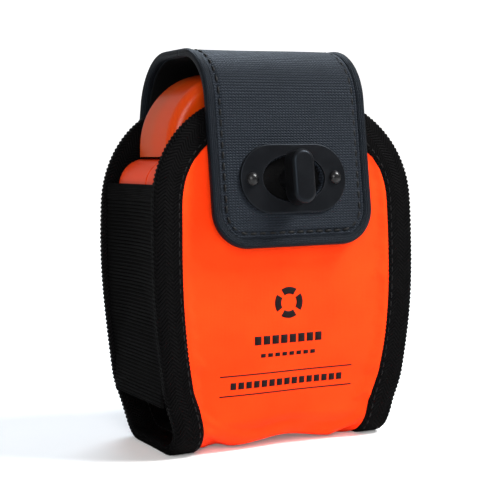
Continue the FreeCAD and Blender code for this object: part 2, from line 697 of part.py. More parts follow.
def make_belt_loop():
    """Webbing sewn to the back panel above and below, standing off it between."""
    body = new_body("belt_loop")
    sketch = new_sketch(body, "YZ")
    near, low, high = "Dim.back_face", "Dim.loop_low", "Dim.loop_high"
    web, patch = "Dim.loop_web", "Dim.loop_patch"
    room = "(Dim.loop_reach - Dim.loop_web - Dim.back_face)"
    skin = "%s + %s" % (near, web)
    inner, outer = "%s + %s" % (near, room), "%s + %s + %s" % (near, room, web)
    low_in, low_out = "%s + %s" % (low, patch), "%s + %s + %s" % (low, patch, room)
    high_in, high_out = "%s - %s" % (high, patch), "%s - %s - %s" % (high, patch, room)
    corners = [
        (near, low), (skin, low), (skin, low_in), (outer, low_out), (outer, high_out), (skin, high_in),
        (skin, high), (near, high), (near, high_in + " - Dim.loop_bend"),
        (inner, high_out + " - Dim.loop_bend"), (inner, low_out + " + Dim.loop_bend"),
        (near, low_in + " + Dim.loop_bend"),
    ]
    draw_outline(sketch, corners)
    pad(body, sketch, "2 * Dim.loop_half", symmetric=True)


# ---------------------------------------------------------------- flap

def make_flap():
    """The flap as a root patch, a crown over the top and a tongue down the front, with rolled trim."""
    cloth, rise = DIM["flap_cloth"], DIM["flap_cloth"] + DIM["trim_rise"]
    shapes = {
        "crown": (crown_plan(0), crown_plan(DIM["trim_edge"]), crown_plan(DIM["trim_width"])),
        "tongue": tuple(through(tongue_outline(i)) for i in (0, DIM["trim_edge"], DIM["trim_width"])),
    }
    frame = lock_frame()
    eye = Part.Ellipse(V(), DIM["eye_half"], DIM["eye_high"]).toShape()
    eye_prism = Part.Face(Part.Wire(eye)).extrude(V(0, 0, DIM["plate_half"]))
    eye_prism.Placement = frame.multiply(
        FreeCAD.Placement(V(0, -DIM["plate_half"] / 2, 0), FreeCAD.Rotation(X_AXIS, -90)))
    for stretch, (edge, field, hem) in shapes.items():
        sheet_band = across(band_face(flap_edges(cloth, stretch), flap_edges(0, stretch)))
        trim_band = across(band_face(flap_edges(rise, stretch), flap_edges(0, stretch)))
        piece = sheet_band.common(field)
        trim = trim_band.common(edge.cut(hem)).cut(piece)
        if stretch == "tongue":
            piece = piece.cut(eye_prism)
            for s in (1, -1):
                hole = peg(s * DIM["rivet_pitch"], DIM["rivet_shank"])
                hole.Placement = frame.multiply(hole.Placement)
                piece = piece.cut(hole.common(half_space(V(-FAR, -FAR, 0), V(FAR, 0, FAR))))
        cloth_piece("flap_" + stretch, piece)
        cloth_piece("flap_" + stretch + "_trim", trim)


def make_flap_anchor():
    """Folded root of the flap, sewn to the back panel."""
    body = new_body("flap_anchor")
    sketch = new_sketch(body, "YZ")
    rear = "Dim.flap_back + Dim.flap_cloth"
    draw_rectangle(sketch, "Dim.back_face", "Dim.anchor_low", rear, "Dim.flap_root")
    pad(body, sketch, "2 * Dim.anchor_half", symmetric=True)


# ---------------------------------------------------------------- turn-lock

def put_on_lock(thing):
    thing.Placement = lock_frame()


def draw_ellipse(sketch, half, high):
    """An ellipse about the sketch's origin, long way along x."""
    a, b = value(half), value(high)
    ellipse = sketch.addGeometry(Part.Ellipse(V(a, 0, 0), V(0, b, 0), V()), False)
    sketch.exposeInternalGeometry(ellipse)
    major, minor = ellipse + 1, ellipse + 2
    sketch.addConstraint(Sketcher.Constraint("Coincident", ellipse, 3, -1, 1))
    sketch.addConstraint(Sketcher.Constraint("Horizontal", major))
    fix_size(sketch, "Distance", major, "2 * " + half)
    fix_size(sketch, "Distance", minor, "2 * " + high)


def make_lock_plate():
    """Oval escutcheon on the flap with an elliptical eye."""
    body = new_body("lock_plate")
    sketch = new_sketch(body, "XZ")
    draw_stadium(sketch, "Dim.plate_half", "Dim.plate_radius")
    draw_ellipse(sketch, "Dim.eye_half", "Dim.eye_high")
    for s in ("", "-"):
        draw_circle(sketch, s + "Dim.rivet_pitch", "0", "Dim.rivet_shank")
    pad(body, sketch, "Dim.plate_thick")
    front = lies_at("Y", "-Dim.plate_thick")
    round_edges(body, lambda edge: front(edge) and not edge.isClosed(), "Dim.plate_edge")
    put_on_lock(body)


def make_lock_back_plate():
    """Plate behind the flap that the rivets clamp and the knob's shaft turns in."""
    body = new_body("lock_back_plate")
    sketch = new_sketch(body, "XZ", "-(Dim.flap_cloth + Dim.rear_plate_thick)")
    draw_stadium(sketch, "Dim.rear_plate_half", "Dim.rear_plate_radius")
    draw_circle(sketch, "0", "0", "Dim.knob_shaft + Dim.run_fit")
    for s in ("", "-"):
        draw_circle(sketch, s + "Dim.rivet_pitch", "0", "Dim.rivet_shank")
    pad(body, sketch, "Dim.rear_plate_thick")
    slots = new_sketch(body, "XZ", "-Dim.flap_cloth")
    near, far, half = "Dim.rear_slot_near", "Dim.rear_slot_far", "Dim.rear_slot_half"
    draw_rectangle(slots, "-" + far, "-" + half, "-" + near, half)
    draw_rectangle(slots, near, "-" + half, far, half)
    pocket(body, slots, "Dim.rear_plate_thick")
    put_on_lock(body)


def make_lock_rivets():
    """Domed rivets through plate, flap and back plate."""
    pieces = []
    for s in ("", "-"):
        x = s + "Dim.rivet_pitch"
        tail = "Dim.flap_cloth + Dim.rear_plate_thick"
        shank = rod_along_y("Dim.rivet_shank", x, "0", "-Dim.plate_thick", tail)
        foot = rod_along_y("Dim.rivet_foot", x, "0", tail, tail + " + Dim.rivet_foot_thick")
        dome = doc.addObject("Part::Ellipsoid", "Dome")
        dome.Placement = FreeCAD.Placement(V(), FreeCAD.Rotation(X_AXIS, 90))
        dome.Angle1 = 0
        bind(dome, Radius1="Dim.rivet_rise", Radius2="Dim.rivet_dome", Radius3="Dim.rivet_dome")
        bind(dome, Placement__Base__x=x, Placement__Base__y="-Dim.plate_thick")
        pieces.append(join(shank, foot, dome))
    put_on_lock(group("lock_rivets", *pieces))


def make_turn_knob():
    """Blade, neck and shaft of the quarter-turn knob."""
    body = new_body("turn_knob")
    blade = new_sketch(body, "XZ", "Dim.knob_low")
    flat = "(Dim.knob_half - Dim.knob_radius)"
    side = "Dim.knob_radius"
    corners = [("0", "-Dim.knob_half"), (side, "-" + flat), (side, flat), ("0", "Dim.knob_half"),
               ("-" + side, flat), ("-" + side, "-" + flat)]
    draw_outline(blade, corners, {0: side, 2: side, 3: side, 5: side})
    pad(body, blade, "Dim.knob_high - Dim.knob_low")
    round_edges(body, lies_at("Y", "-Dim.knob_high"), "Dim.knob_round")
    neck = new_sketch(body, "XZ", "-(Dim.flap_cloth - Dim.neck_gap)")
    draw_circle(neck, "0", "0", "Dim.knob_neck")
    pad(body, neck, "Dim.flap_cloth - Dim.neck_gap + Dim.knob_low")
    shaft = new_sketch(body, "XZ", "-(Dim.flap_cloth + Dim.rear_plate_thick + Dim.shaft_proud)")
    draw_circle(shaft, "0", "0", "Dim.knob_shaft")
    pad(body, shaft, "Dim.rear_plate_thick + 2 * Dim.shaft_proud")
    put_on_lock(body)


def make_knob_clip():
    """Spring clip on the end of the knob's shaft."""
    body = new_body("knob_clip")
    sketch = new_sketch(body, "XZ", "-(Dim.flap_cloth + Dim.rear_plate_thick + Dim.shaft_proud)")
    draw_circle(sketch, "0", "0", "Dim.knob_shaft + Dim.clip_wide")
    draw_circle(sketch, "0", "0", "Dim.knob_shaft")
    pad(body, sketch, "Dim.clip_thick")
    put_on_lock(body)


def make_keeper():
    """Slotted keeper plate riveted to the front panel, and its rivets."""
    body = new_body("keeper_plate")
    sketch = new_sketch(body, "XZ")
    draw_stadium(sketch, "Dim.keeper_half", "Dim.keeper_radius")
    draw_stadium(sketch, "Dim.keeper_slot", "Dim.keeper_slot_radius")
    for s in ("", "-"):
        draw_circle(sketch, s + "Dim.keeper_pitch", "0", "Dim.rivet_shank")
    pad(body, sketch, "Dim.keeper_thick")
    body.Placement = keeper_frame()
    pieces = []
    for s in ("", "-"):
        x, tail = s + "Dim.keeper_pitch", "Dim.cloth + Dim.run_fit"
        shank = rod_along_y("Dim.rivet_shank", x, "0", "-Dim.keeper_thick", tail)
        foot = rod_along_y("Dim.keeper_foot", x, "0", tail, tail + " + Dim.keeper_foot_thick")
        pieces.append(join(shank, foot))
    group("keeper_rivets", *pieces).Placement = keeper_frame()


# ---------------------------------------------------------------- beacon case

def case_outline(sketch, inset):
    """The case seen from the front, inset from its edge."""
    half, foot, flat = "(Dim.case_half - %s)" % inset, "(Dim.case_foot_half - %s)" % inset, "Dim.case_flat"
    low, top = "Dim.case_low + %s" % inset, "Dim.case_top - %s" % inset
    corner = "(Dim.case_foot_half - Dim.case_flat)"
    bend, waist = "Dim.case_low + " + corner, "Dim.case_waist"
    shoulder, level = "(Dim.case_half - Dim.case_shoulder)", "Dim.case_top - Dim.case_shoulder"
    right = [(flat, low), (foot, bend), (half, waist), (half, level), (shoulder, top)]
    left = [("-" + x, z) for x, z in reversed(right)]
    lower, upper = "%s - %s" % (corner, inset), "Dim.case_shoulder - %s" % inset
    draw_outline(sketch, right + left, {0: lower, 3: upper, 5: upper, 8: lower})


def posts(sketch, radius):
    for s in ("", "-"):
        draw_circle(sketch, s + "Dim.post_side_high", "Dim.post_level_high", radius)
        draw_circle(sketch, s + "Dim.post_side_low", "Dim.post_level_low", radius)


def make_front_case():
    """Front shell with four screw posts."""
    body = new_body("front_case")
    split = "(Dim.case_split + Dim.case_seal / 2)"
    shell = new_sketch(body, "XZ", split)
    case_outline(shell, "0")
    pad(body, shell, "Dim.case_front - " + split)
    round_edges(body, lies_at("Y", "-Dim.case_front"), "Dim.case_round")
    hollow = new_sketch(body, "XZ", split)
    case_outline(hollow, "Dim.case_wall")
    pocket(body, hollow, "Dim.case_front - %s - Dim.case_wall" % split, reverse=True)
    pillars = new_sketch(body, "XZ", split)
    posts(pillars, "Dim.post_radius")
    pad(body, pillars, "Dim.case_front - %s - Dim.case_wall / 2" % split)
    holes = new_sketch(body, "XZ", "Dim.case_front")
    posts(holes, "Dim.case_screw + Dim.screw_clear")
    pocket(body, holes, "Dim.case_front")
    heads = new_sketch(body, "XZ", "Dim.case_front")
    posts(heads, "Dim.case_screw_head + Dim.head_clear")
    pocket(body, heads, "Dim.head_deep")


def make_rear_case():
    """Rear shell: posts, deck holes, battery opening, screw rib and lid hinge ears."""
    body = new_body("rear_case")
    split = "-(Dim.case_split - Dim.case_seal / 2)"
    shell = new_sketch(body, "XZ", "-Dim.case_back")
    case_outline(shell, "0")
    pad(body, shell, "Dim.case_back - " + split)
    round_edges(body, lies_at("Y", "Dim.case_back"), "Dim.case_round")
    hollow = new_sketch(body, "XZ", "-(%s)" % split)
    case_outline(hollow, "Dim.case_wall")
    pocket(body, hollow, "Dim.case_back - %s - Dim.case_wall" % split)
    pillars = new_sketch(body, "XZ", "-(Dim.case_back - Dim.case_wall / 2)")
    posts(pillars, "Dim.post_radius")
    pad(body, pillars, "Dim.case_back - Dim.case_wall / 2 - " + split)
    threads = new_sketch(body, "XZ", "-(%s)" % split)
    posts(threads, "Dim.case_screw")
    pocket(body, threads, "Dim.thread_deep")
    make_hinge_ears(body)
    deck = new_sketch(body, "XY", "Dim.case_top + Dim.over")
    for side in ("Dim.on_side", "Dim.test_side"):
        draw_circle(deck, side, "Dim.deck_depth", "Dim.button_stem + Dim.run_fit")
    pocket(body, deck, "Dim.case_wall + 2 * Dim.over")
    opening = new_sketch(body, "XY", "Dim.case_low + Dim.door_thick + Dim.over")
    draw_stadium(opening, "Dim.door_half + Dim.door_fit", "Dim.door_radius + Dim.door_fit", "Dim.cell_depth")
    pocket(body, opening, "Dim.door_thick + 2 * Dim.over")
    rib = new_sketch(body, "XY", "Dim.cell_low")
    rear = "Dim.case_back - Dim.case_wall / 2"
    draw_rectangle(rib, "-Dim.rib_half", "Dim.cell_depth - Dim.rib_ahead", "Dim.rib_half", rear)
    pad(body, rib, "Dim.rib_high")
    thread = new_sketch(body, "XY", "Dim.cell_low + Dim.rib_high")
    draw_circle(thread, "0", "Dim.cell_depth", "Dim.screw_shaft + Dim.run_fit")
    pocket(body, thread, "Dim.rib_high + Dim.over")


def make_hinge_ears(body):
    """Two ears on the rear edge of the deck that hold the lid's hinge pin."""
    depth, level, radius = "Dim.hinge_depth", "Dim.hinge_level", "Dim.hinge_radius"
    near, far = depth + " - " + radius, depth + " + " + radius
    inner = "Dim.knuckle_half + Dim.ear_gap"
    for start in (inner, "-(%s + Dim.ear_long)" % inner):
        ear = new_sketch(body, "YZ", start)
        low = "Dim.case_top - Dim.ear_root"
        corners = [(near, low), (far, low), (far, level), (depth, level + " + " + radius), (near, level)]
        draw_outline(ear, corners, {2: radius, 3: radius})
        pad(body, ear, "Dim.ear_long")
    hole = new_sketch(body, "YZ")
    draw_circle(hole, depth, level, "Dim.hinge_pin")
    pocket(body, hole, "4 * Dim.knuckle_half", symmetric=True)


def make_case_seal():
    """Flat gasket between the two shells."""
    body = new_body("case_seal")
    sketch = new_sketch(body, "XZ", "(Dim.case_split - Dim.case_seal / 2)")
    case_outline(sketch, "Dim.seal_inset")
    case_outline(sketch, "Dim.seal_inner")
    pad(body, sketch, "Dim.case_seal")


def make_case_screws():
    """Four screws that draw the shells together."""
    pieces = []
    spots = [(s + "Dim.post_side_high", "Dim.post_level_high") for s in ("", "-")]
    spots += [(s + "Dim.post_side_low", "Dim.post_level_low") for s in ("", "-")]
    for x, z in spots:
        face = "-Dim.case_front"
        head_back = face + " + Dim.head_deep"
        shank = rod_along_y("Dim.case_screw", x, z, head_back, "Dim.screw_reach")
        head = rod_along_y("Dim.case_screw_head", x, z, face + " + Dim.head_sunk", head_back)
        socket = rod_along_y("Dim.case_screw_head / 2", x, z, face, face + " + Dim.socket_end")
        pieces.append(cut(join(shank, head), socket))
    group("case_screws", *pieces)


# ---------------------------------------------------------------- lid

def lid_outline(sketch, inset, low):
    half, flat = "(Dim.lid_half - %s)" % inset, "(Dim.lid_half - Dim.lid_radius)"
    bend, top = "Dim.lid_top - Dim.lid_radius", "Dim.lid_top - %s" % inset
    radius = "Dim.lid_radius - %s" % inset
    right = [(half, low), (half, bend), (flat, top)]
    left = [("-" + x, z) for x, z in reversed(right)]
    draw_outline(sketch, right + left, {1: radius, 3: radius})


def make_lid():
    """Clear cap over antenna, buttons and lamp: a hinge knuckle behind and a thumb tab in front."""
    body = new_body("lid")
    shell = new_sketch(body, "XZ", "-Dim.lid_back")
    lid_outline(shell, "0", "Dim.lid_low")
    pad(body, shell, "Dim.lid_back + Dim.lid_front")
    front, back = lies_at("Y", "-Dim.lid_front"), lies_at("Y", "Dim.lid_back")
    low = lies_at("Z", "Dim.lid_low")
    round_edges(body, lambda edge: (front(edge) or back(edge)) and not low(edge), "Dim.lid_round")
    hollow = new_sketch(body, "XZ", "-(Dim.lid_back - Dim.lid_wall)")
    lid_outline(hollow, "Dim.lid_wall", "Dim.lid_low - Dim.over")
    pocket(body, hollow, "Dim.lid_back + Dim.lid_front - 2 * Dim.lid_wall", reverse=True)
    knuckle = new_sketch(body, "YZ")
    depth, level, radius = "Dim.hinge_depth", "Dim.hinge_level", "Dim.hinge_radius"
    wall = "Dim.lid_back - Dim.lid_wall / 2"
    low, high = level + " - " + radius, level + " + " + radius
    rear = depth + " + " + radius
    corners = [(wall, low + " + Dim.ear_gap"), (depth, low), (rear, level), (depth, high), (wall, high)]
    draw_outline(knuckle, corners, {1: radius, 2: radius})
    pad(body, knuckle, "2 * Dim.knuckle_half", symmetric=True)
    hole = new_sketch(body, "YZ")
    draw_circle(hole, depth, level, "Dim.hinge_pin + Dim.run_fit")
    pocket(body, hole, "4 * Dim.knuckle_half", symmetric=True)
    tab = new_sketch(body, "XZ", "Dim.lid_front - Dim.lid_wall / 2")
    draw_rectangle(tab, "-Dim.tab_half", "Dim.lid_low", "Dim.tab_half", "Dim.lid_low + Dim.tab_high")
    pad(body, tab, "Dim.tab_deep + Dim.lid_wall / 2")


def make_lid_pin():
    reach = "Dim.knuckle_half + Dim.ear_gap + Dim.ear_long"
    pin = doc.addObject("Part::Cylinder", "Pin")
    pin.Placement = FreeCAD.Placement(V(), FreeCAD.Rotation(Y_AXIS, 90))
    bind(pin, Radius="Dim.hinge_pin", Height="2 * (%s)" % reach)
    bind(pin, Placement__Base__x="-(%s)" % reach, Placement__Base__y="Dim.hinge_depth",
         Placement__Base__z="Dim.hinge_level")
    name_part(pin, "lid_pin")


# ---------------------------------------------------------------- deck: buttons, lamp, antenna

def make_button(label, side):
    """Round button with a stem through the deck."""
    body = new_body(label)
    sketch = new_sketch(body, "XZ")
    cap, stem = "Dim.button_cap", "Dim.button_stem"
    low, rest, top = "Dim.stem_low", "Dim.button_rest", "Dim.button_rest + Dim.button_high"
    bend = "Dim.button_round"
    corners = [("0", low), (stem, low), (stem, rest), (cap, rest), (cap, top + " - " + bend),
               (cap + " - " + bend, top), ("0", top)]
    draw_outline(sketch, corners, {4: bend})
    revolve(body, sketch)
    place(body, x=side, y="Dim.deck_depth")


def make_button_seals():
    """Rubber rings under the deck that wipe the stems."""
    pieces = []
    for side in ("Dim.on_side", "Dim.test_side"):
        top, depth = "Dim.case_top - Dim.case_wall", "Dim.deck_depth"
        ring = rod("Dim.button_stem + Dim.ring_wide", top + " - Dim.ring_high", top, side, depth)
        bore = rod("Dim.button_stem + Dim.run_fit", top + " - Dim.over", "Dim.case_top", side, depth)
        pieces.append(cut(ring, bore))
    group("button_seals", *pieces)


def make_switches():
    """Tactile switches under the buttons and the small board that carries them."""
    low, margin, half = "Dim.stem_low - Dim.switch_drop", "Dim.switch_margin", "Dim.switch_half"
    face, top = low + " + Dim.switch_board_thick", low + " + Dim.switch_board_thick + Dim.switch_high"
    board = block("Dim.on_side - " + margin, "Dim.test_side + " + margin, "Dim.board_thick - Dim.board_face",
                  "Dim.deck_depth + Dim.switch_board_back", low, face)
    name_part(board, "switch_board")
    pieces = []
    for side in ("Dim.on_side", "Dim.test_side"):
        base = block("%s - %s" % (side, half), "%s + %s" % (side, half), "Dim.deck_depth - " + half,
                     "Dim.deck_depth + " + half, face, top)
        plunger = rod("Dim.plunger_radius", top, top + " + Dim.plunger_high", side, "Dim.deck_depth")
        pieces.append(join(base, plunger))
    group("tactile_switches", *pieces)


def make_strobe():
    """Clear dome over a small lamp."""
    lens = new_body("strobe_lens")
    sketch = new_sketch(lens, "XZ")
    outer, inner = "Dim.lamp_radius", "(Dim.lamp_radius - Dim.lamp_wall)"
    skirt = "Dim.lamp_skirt"
    corners = [(inner, "0"), (outer, "0"), (outer, skirt), ("0", skirt + " + " + outer),
               ("0", skirt + " + " + inner), (inner, skirt)]
    draw_outline(sketch, corners, {2: outer})
    revolve(lens, sketch)
    place(lens, x="Dim.lamp_side", y="Dim.deck_depth", z="Dim.case_top")
    lamp = new_body("strobe_led")
    profile = new_sketch(lamp, "XZ")
    foot, step, dome = "Dim.led_foot", "Dim.led_step", "Dim.led_dome"
    corners = [("0", "0"), (foot, "0"), (foot, step), (dome, step), ("0", step + " + " + dome)]
    draw_outline(profile, corners, {3: dome})
    revolve(lamp, profile)
    place(lamp, x="Dim.lamp_side", y="Dim.deck_depth", z="Dim.case_top")


def spiral(radius):
    """The coiled tape's line about the drum, from this radius outwards."""
    steps = int(DIM["coil_turns"] * SPIRAL_STEPS)
    points = []
    for i in range(steps + 1):
        turn = DIM["coil_turns"] * i / steps
        reach = radius + DIM["coil_pitch"] * turn
        angle = 2 * math.pi * turn
        x = DIM["coil_side"] + reach * math.cos(angle)
        points.append(xz(x, DIM["coil_level"] + reach * math.sin(angle)))
    curve = Part.BSplineCurve()
    curve.interpolate(points)
    return curve.toShape()


def make_antenna():
    """Drum bracket on the deck and the coiled tape antenna wound on it."""
    side, level, depth = "Dim.coil_side", "Dim.coil_level", "Dim.deck_depth"
    near = depth + " + Dim.coil_width / 2 + Dim.bracket_gap"
    back = depth + " + Dim.bracket_depth"
    bracket = block(side + " - Dim.bracket_half", side + " + Dim.bracket_half", near, back, "Dim.case_top",
                    level + " + Dim.bracket_rise")
    half, top = "Dim.bracket_foot_half", "Dim.case_top"
    ahead = depth + " - Dim.bracket_foot_ahead"
    foot = block("%s - %s" % (side, half), "%s + %s" % (side, half), ahead, back, top,
                 top + " + Dim.bracket_foot_high")
    start = depth + " - Dim.coil_width / 2 - Dim.drum_proud"
    drum = rod_along_y("Dim.drum_radius", side, level, start, near)
    name_part(join(bracket, foot, drum), "antenna_base")
    inner = DIM["drum_radius"] + DIM["coil_gap"]
    edges = [spiral(inner), spiral(inner + DIM["coil_tape"])]
    ends = [line(edges[0].firstVertex().Point, edges[1].firstVertex().Point),
            line(edges[0].lastVertex().Point, edges[1].lastVertex().Point)]
    face = Part.Face(Part.Wire(Part.__sortEdges__(edges + ends)))
    tape = face.extrude(V(0, DIM["coil_width"], 0))
    cloth_piece("antenna_tape", tape.translated(V(0, DIM["deck_depth"] - DIM["coil_width"] / 2, 0)))


# ---------------------------------------------------------------- electronics and power

def make_electronics():
    """Main board with its antenna patch and radio shield."""
    face = "-Dim.board_face"
    board = block("-Dim.board_half", "Dim.board_half", face, face + " + Dim.board_thick", "Dim.board_low",
                  "Dim.board_high")
    name_part(board, "circuit_board")
    patch = new_body("gps_antenna")
    sketch = new_sketch(patch, "XZ", "Dim.board_face")
    half, level = "Dim.patch_half", "Dim.patch_level"
    draw_rectangle(sketch, "-" + half, "%s - %s" % (level, half), half, "%s + %s" % (level, half))
    pad(patch, sketch, "Dim.patch_thick")
    feed = new_sketch(patch, "XZ", "Dim.board_face + Dim.patch_thick")
    draw_circle(feed, "Dim.feed_side", level, "Dim.feed_radius")
    pad(patch, feed, "Dim.feed_proud")
    shield = new_body("radio_shield")
    sketch = new_sketch(shield, "XZ", "Dim.board_face")
    draw_rectangle(sketch, "-Dim.shield_half", "Dim.shield_low", "Dim.shield_half", "Dim.shield_high")
    pad(shield, sketch, "Dim.shield_thick")
    hollow = new_sketch(shield, "XZ", "Dim.board_face")
    wall, inner = "Dim.shield_wall", "(Dim.shield_half - Dim.shield_wall)"
    draw_rectangle(hollow, "-" + inner, "Dim.shield_low + " + wall, inner, "Dim.shield_high - " + wall)
    pocket(shield, hollow, "Dim.shield_thick - " + wall, reverse=True)


def leaf_spring(side):
    """A bent strip that stands on the battery door and presses a cell upwards."""
    body = plain_body("leaf_spring")
    sketch = new_sketch(body, "XZ", "-(Dim.cell_depth + Dim.spring_half)")
    low, high = "Dim.case_low + Dim.door_thick + Dim.spring_gap", "Dim.cell_low - Dim.spring_gap"
    corners = []
    for rise, narrow in (("0", "0"), ("Dim.spring_thick", "Dim.spring_narrow")):
        bottom, top = "%s + %s" % (low, rise), "%s - Dim.spring_thick + %s" % (high, rise)
        foot, crest = "(Dim.spring_foot - %s)" % narrow, "(Dim.spring_crest - %s)" % narrow
        toe = "Dim.spring_foot"
        edge = [("%s - %s - Dim.spring_toe" % (side, toe), bottom), ("%s - %s" % (side, foot), bottom),
                ("%s - %s" % (side, crest), top), ("%s + %s" % (side, crest), top),
                ("%s + %s" % (side, foot), bottom), ("%s + %s + Dim.spring_toe" % (side, toe), bottom)]
        corners += edge if rise == "0" else list(reversed(edge))
    draw_outline(sketch, corners)
    pad(body, sketch, "2 * Dim.spring_half")
    return body


def make_power():
    """Two cells, their springs and their contact plate."""
    depth, low = "Dim.cell_depth", "Dim.cell_low"
    top = "Dim.cell_low + Dim.cell_long"
    cells, springs = [], []
    for s in ("", "-"):
        side = s + "Dim.cell_side"
        nub = rod("Dim.nub_radius", top, top + " + Dim.nub_high", side, depth)
        cells.append(join(rod("Dim.cell_radius", low, top, side, depth), nub))
        springs.append(leaf_spring(side))
    group("battery_cells", *cells)
    group("battery_springs", *springs)
    face, half = top + " + Dim.nub_high", "Dim.contact_wide"
    near, far = "%s - %s" % (depth, half), "%s + %s" % (depth, half)
    plate = block("-Dim.contact_half", "Dim.contact_half", near, far, face, face + " + Dim.contact_thick")
    name_part(plate, "battery_contacts")


def make_battery_door():
    """Oval door with a seal groove and a counterbore for the coin screw."""
    body = new_body("battery_door")
    inner, inner_radius = "Dim.door_half - Dim.door_groove", "Dim.door_radius - Dim.door_groove"
    sketch = new_sketch(body, "XY", "Dim.case_low")
    draw_stadium(sketch, "Dim.door_half", "Dim.door_radius", "Dim.cell_depth")
    draw_circle(sketch, "0", "Dim.cell_depth", "Dim.screw_shaft + Dim.run_fit")
    pad(body, sketch, "Dim.door_thick")
    groove = new_sketch(body, "XY", "Dim.case_low + Dim.groove_top")
    draw_stadium(groove, "Dim.door_half + Dim.over", "Dim.door_radius + Dim.over", "Dim.cell_depth")
    draw_stadium(groove, inner, inner_radius, "Dim.cell_depth")
    pocket(body, groove, "Dim.groove_high")
    counterbore = new_sketch(body, "XY", "Dim.case_low + Dim.door_bore")
    draw_circle(counterbore, "0", "Dim.cell_depth", "Dim.screw_head + Dim.head_clear")
    pocket(body, counterbore, "Dim.door_bore")
    seal = new_body("battery_door_seal")
    ring = new_sketch(seal, "XY", "Dim.case_low + Dim.gasket_low")
    draw_stadium(ring, "Dim.door_half + Dim.door_fit", "Dim.door_radius + Dim.door_fit", "Dim.cell_depth")
    draw_stadium(ring, inner, inner_radius, "Dim.cell_depth")
    pad(seal, ring, "Dim.gasket_high")


def make_battery_screw():
    """Coin-slotted quarter-turn screw that holds the battery door."""
    body = new_body("battery_screw")
    head = new_sketch(body, "XY", "Dim.case_low")
    draw_circle(head, "0", "0", "Dim.screw_head")
    pad(body, head, "Dim.coin_head_thick")
    shaft = new_sketch(body, "XY", "Dim.case_low")
    draw_circle(shaft, "0", "0", "Dim.screw_shaft")
    pad(body, shaft, "Dim.coin_long")
    slot = new_sketch(body, "XY", "Dim.case_low")
    reach, half = "(Dim.screw_head + Dim.over)", "Dim.coin_slot_half"
    draw_rectangle(slot, "-" + reach, "-" + half, reach, half)
    pocket(body, slot, "Dim.coin_slot_deep", reverse=True)
    place(body, y="Dim.cell_depth")


# ---------------------------------------------------------------- build, check, export

def build():
    panels = make_panels()
    make_bindings(panels)
    make_gussets()
    make_belt_loop()
    make_flap()
    make_flap_anchor()
    make_lock_plate()
    make_lock_back_plate()
    make_lock_rivets()
    make_turn_knob()
    make_knob_clip()
    make_keeper()
    make_front_case()
    make_rear_case()
    make_case_seal()
    make_case_screws()
    make_lid()
    make_lid_pin()
    make_button("on_button", "Dim.on_side")
    make_button("test_button", "Dim.test_side")
    make_button_seals()
    make_switches()
    make_strobe()
    make_antenna()
    make_electronics()
    make_power()
    make_battery_door()
    make_battery_screw()
    doc.recompute()


def check():
    """Stops with a plain message if any object failed or any sub-part has no sound shape."""
    for thing in doc.Objects:
        if "Invalid" in thing.State or "Error" in thing.State:
            raise RuntimeError("%s (%s) failed: %s" % (thing.Name, thing.Label, thing.State))
    for part in sub_parts:
        if part.Shape.isNull() or not part.Shape.isValid() or not part.Shape.Solids:
            raise RuntimeError("%s has no valid solid" % part.Label)


def export():
    os.makedirs("parts", exist_ok=True)
    for part in sub_parts:
        part.Shape.exportStep(os.path.join("parts", part.Label + ".step"))


build()
check()
export()
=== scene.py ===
"""Looks of the emergency position beacon and its pouch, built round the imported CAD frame."""
import math
import random

import bmesh
import bpy
import numpy as np
from mathutils import Matrix, Vector


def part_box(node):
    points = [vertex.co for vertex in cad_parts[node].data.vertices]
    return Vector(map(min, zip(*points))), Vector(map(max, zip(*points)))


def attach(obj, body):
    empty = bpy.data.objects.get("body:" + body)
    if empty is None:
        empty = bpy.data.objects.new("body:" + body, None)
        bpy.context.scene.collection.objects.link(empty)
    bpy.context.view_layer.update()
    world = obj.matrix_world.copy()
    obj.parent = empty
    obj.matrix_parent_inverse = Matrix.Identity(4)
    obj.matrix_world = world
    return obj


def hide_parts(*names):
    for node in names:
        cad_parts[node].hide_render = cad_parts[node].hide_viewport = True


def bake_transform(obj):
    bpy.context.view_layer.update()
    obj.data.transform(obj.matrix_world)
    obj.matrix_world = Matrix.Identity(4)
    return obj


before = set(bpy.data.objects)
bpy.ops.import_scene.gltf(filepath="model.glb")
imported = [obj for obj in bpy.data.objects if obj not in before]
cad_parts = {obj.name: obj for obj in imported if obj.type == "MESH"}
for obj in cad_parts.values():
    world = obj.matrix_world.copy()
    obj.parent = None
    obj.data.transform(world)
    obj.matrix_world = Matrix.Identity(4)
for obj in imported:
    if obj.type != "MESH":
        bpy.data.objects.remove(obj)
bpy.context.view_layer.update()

MM = 0.001
chance = random.Random(7)
up = Vector((0, 0, 1))


def corners(node):
    """Lowest and highest corner of a CAD node at rest, in millimetres."""
    low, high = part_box(node)
    return np.array(low) / MM, np.array(high) / MM


def add_object(name, data):
    made = bpy.data.objects.new(name, data)
    bpy.context.scene.collection.objects.link(made)
    return made


def smooth_step(low, high, x):
    t = np.clip((np.asarray(x, float) - low) / (high - low), 0, 1)
    return t * t * (3 - 2 * t)


def stacked(*parts):
    """Coordinates of any matching shapes as one array of points."""
    return np.stack(np.broadcast_arrays(*parts), -1)


def grid_spans(first, last, rows, columns):
    """s down a grid's rows and u, from -1 to 1, along its columns."""
    return np.linspace(first, last, rows)[:, None], np.linspace(-1, 1, columns)[None, :]


def full_turn(count):
    return np.linspace(0, 2 * math.pi, count, endpoint=False)


def reach_along(points):
    """Distance travelled at each point of a line."""
    return np.concatenate(([0], np.cumsum(np.linalg.norm(np.diff(points, axis=0), axis=1))))


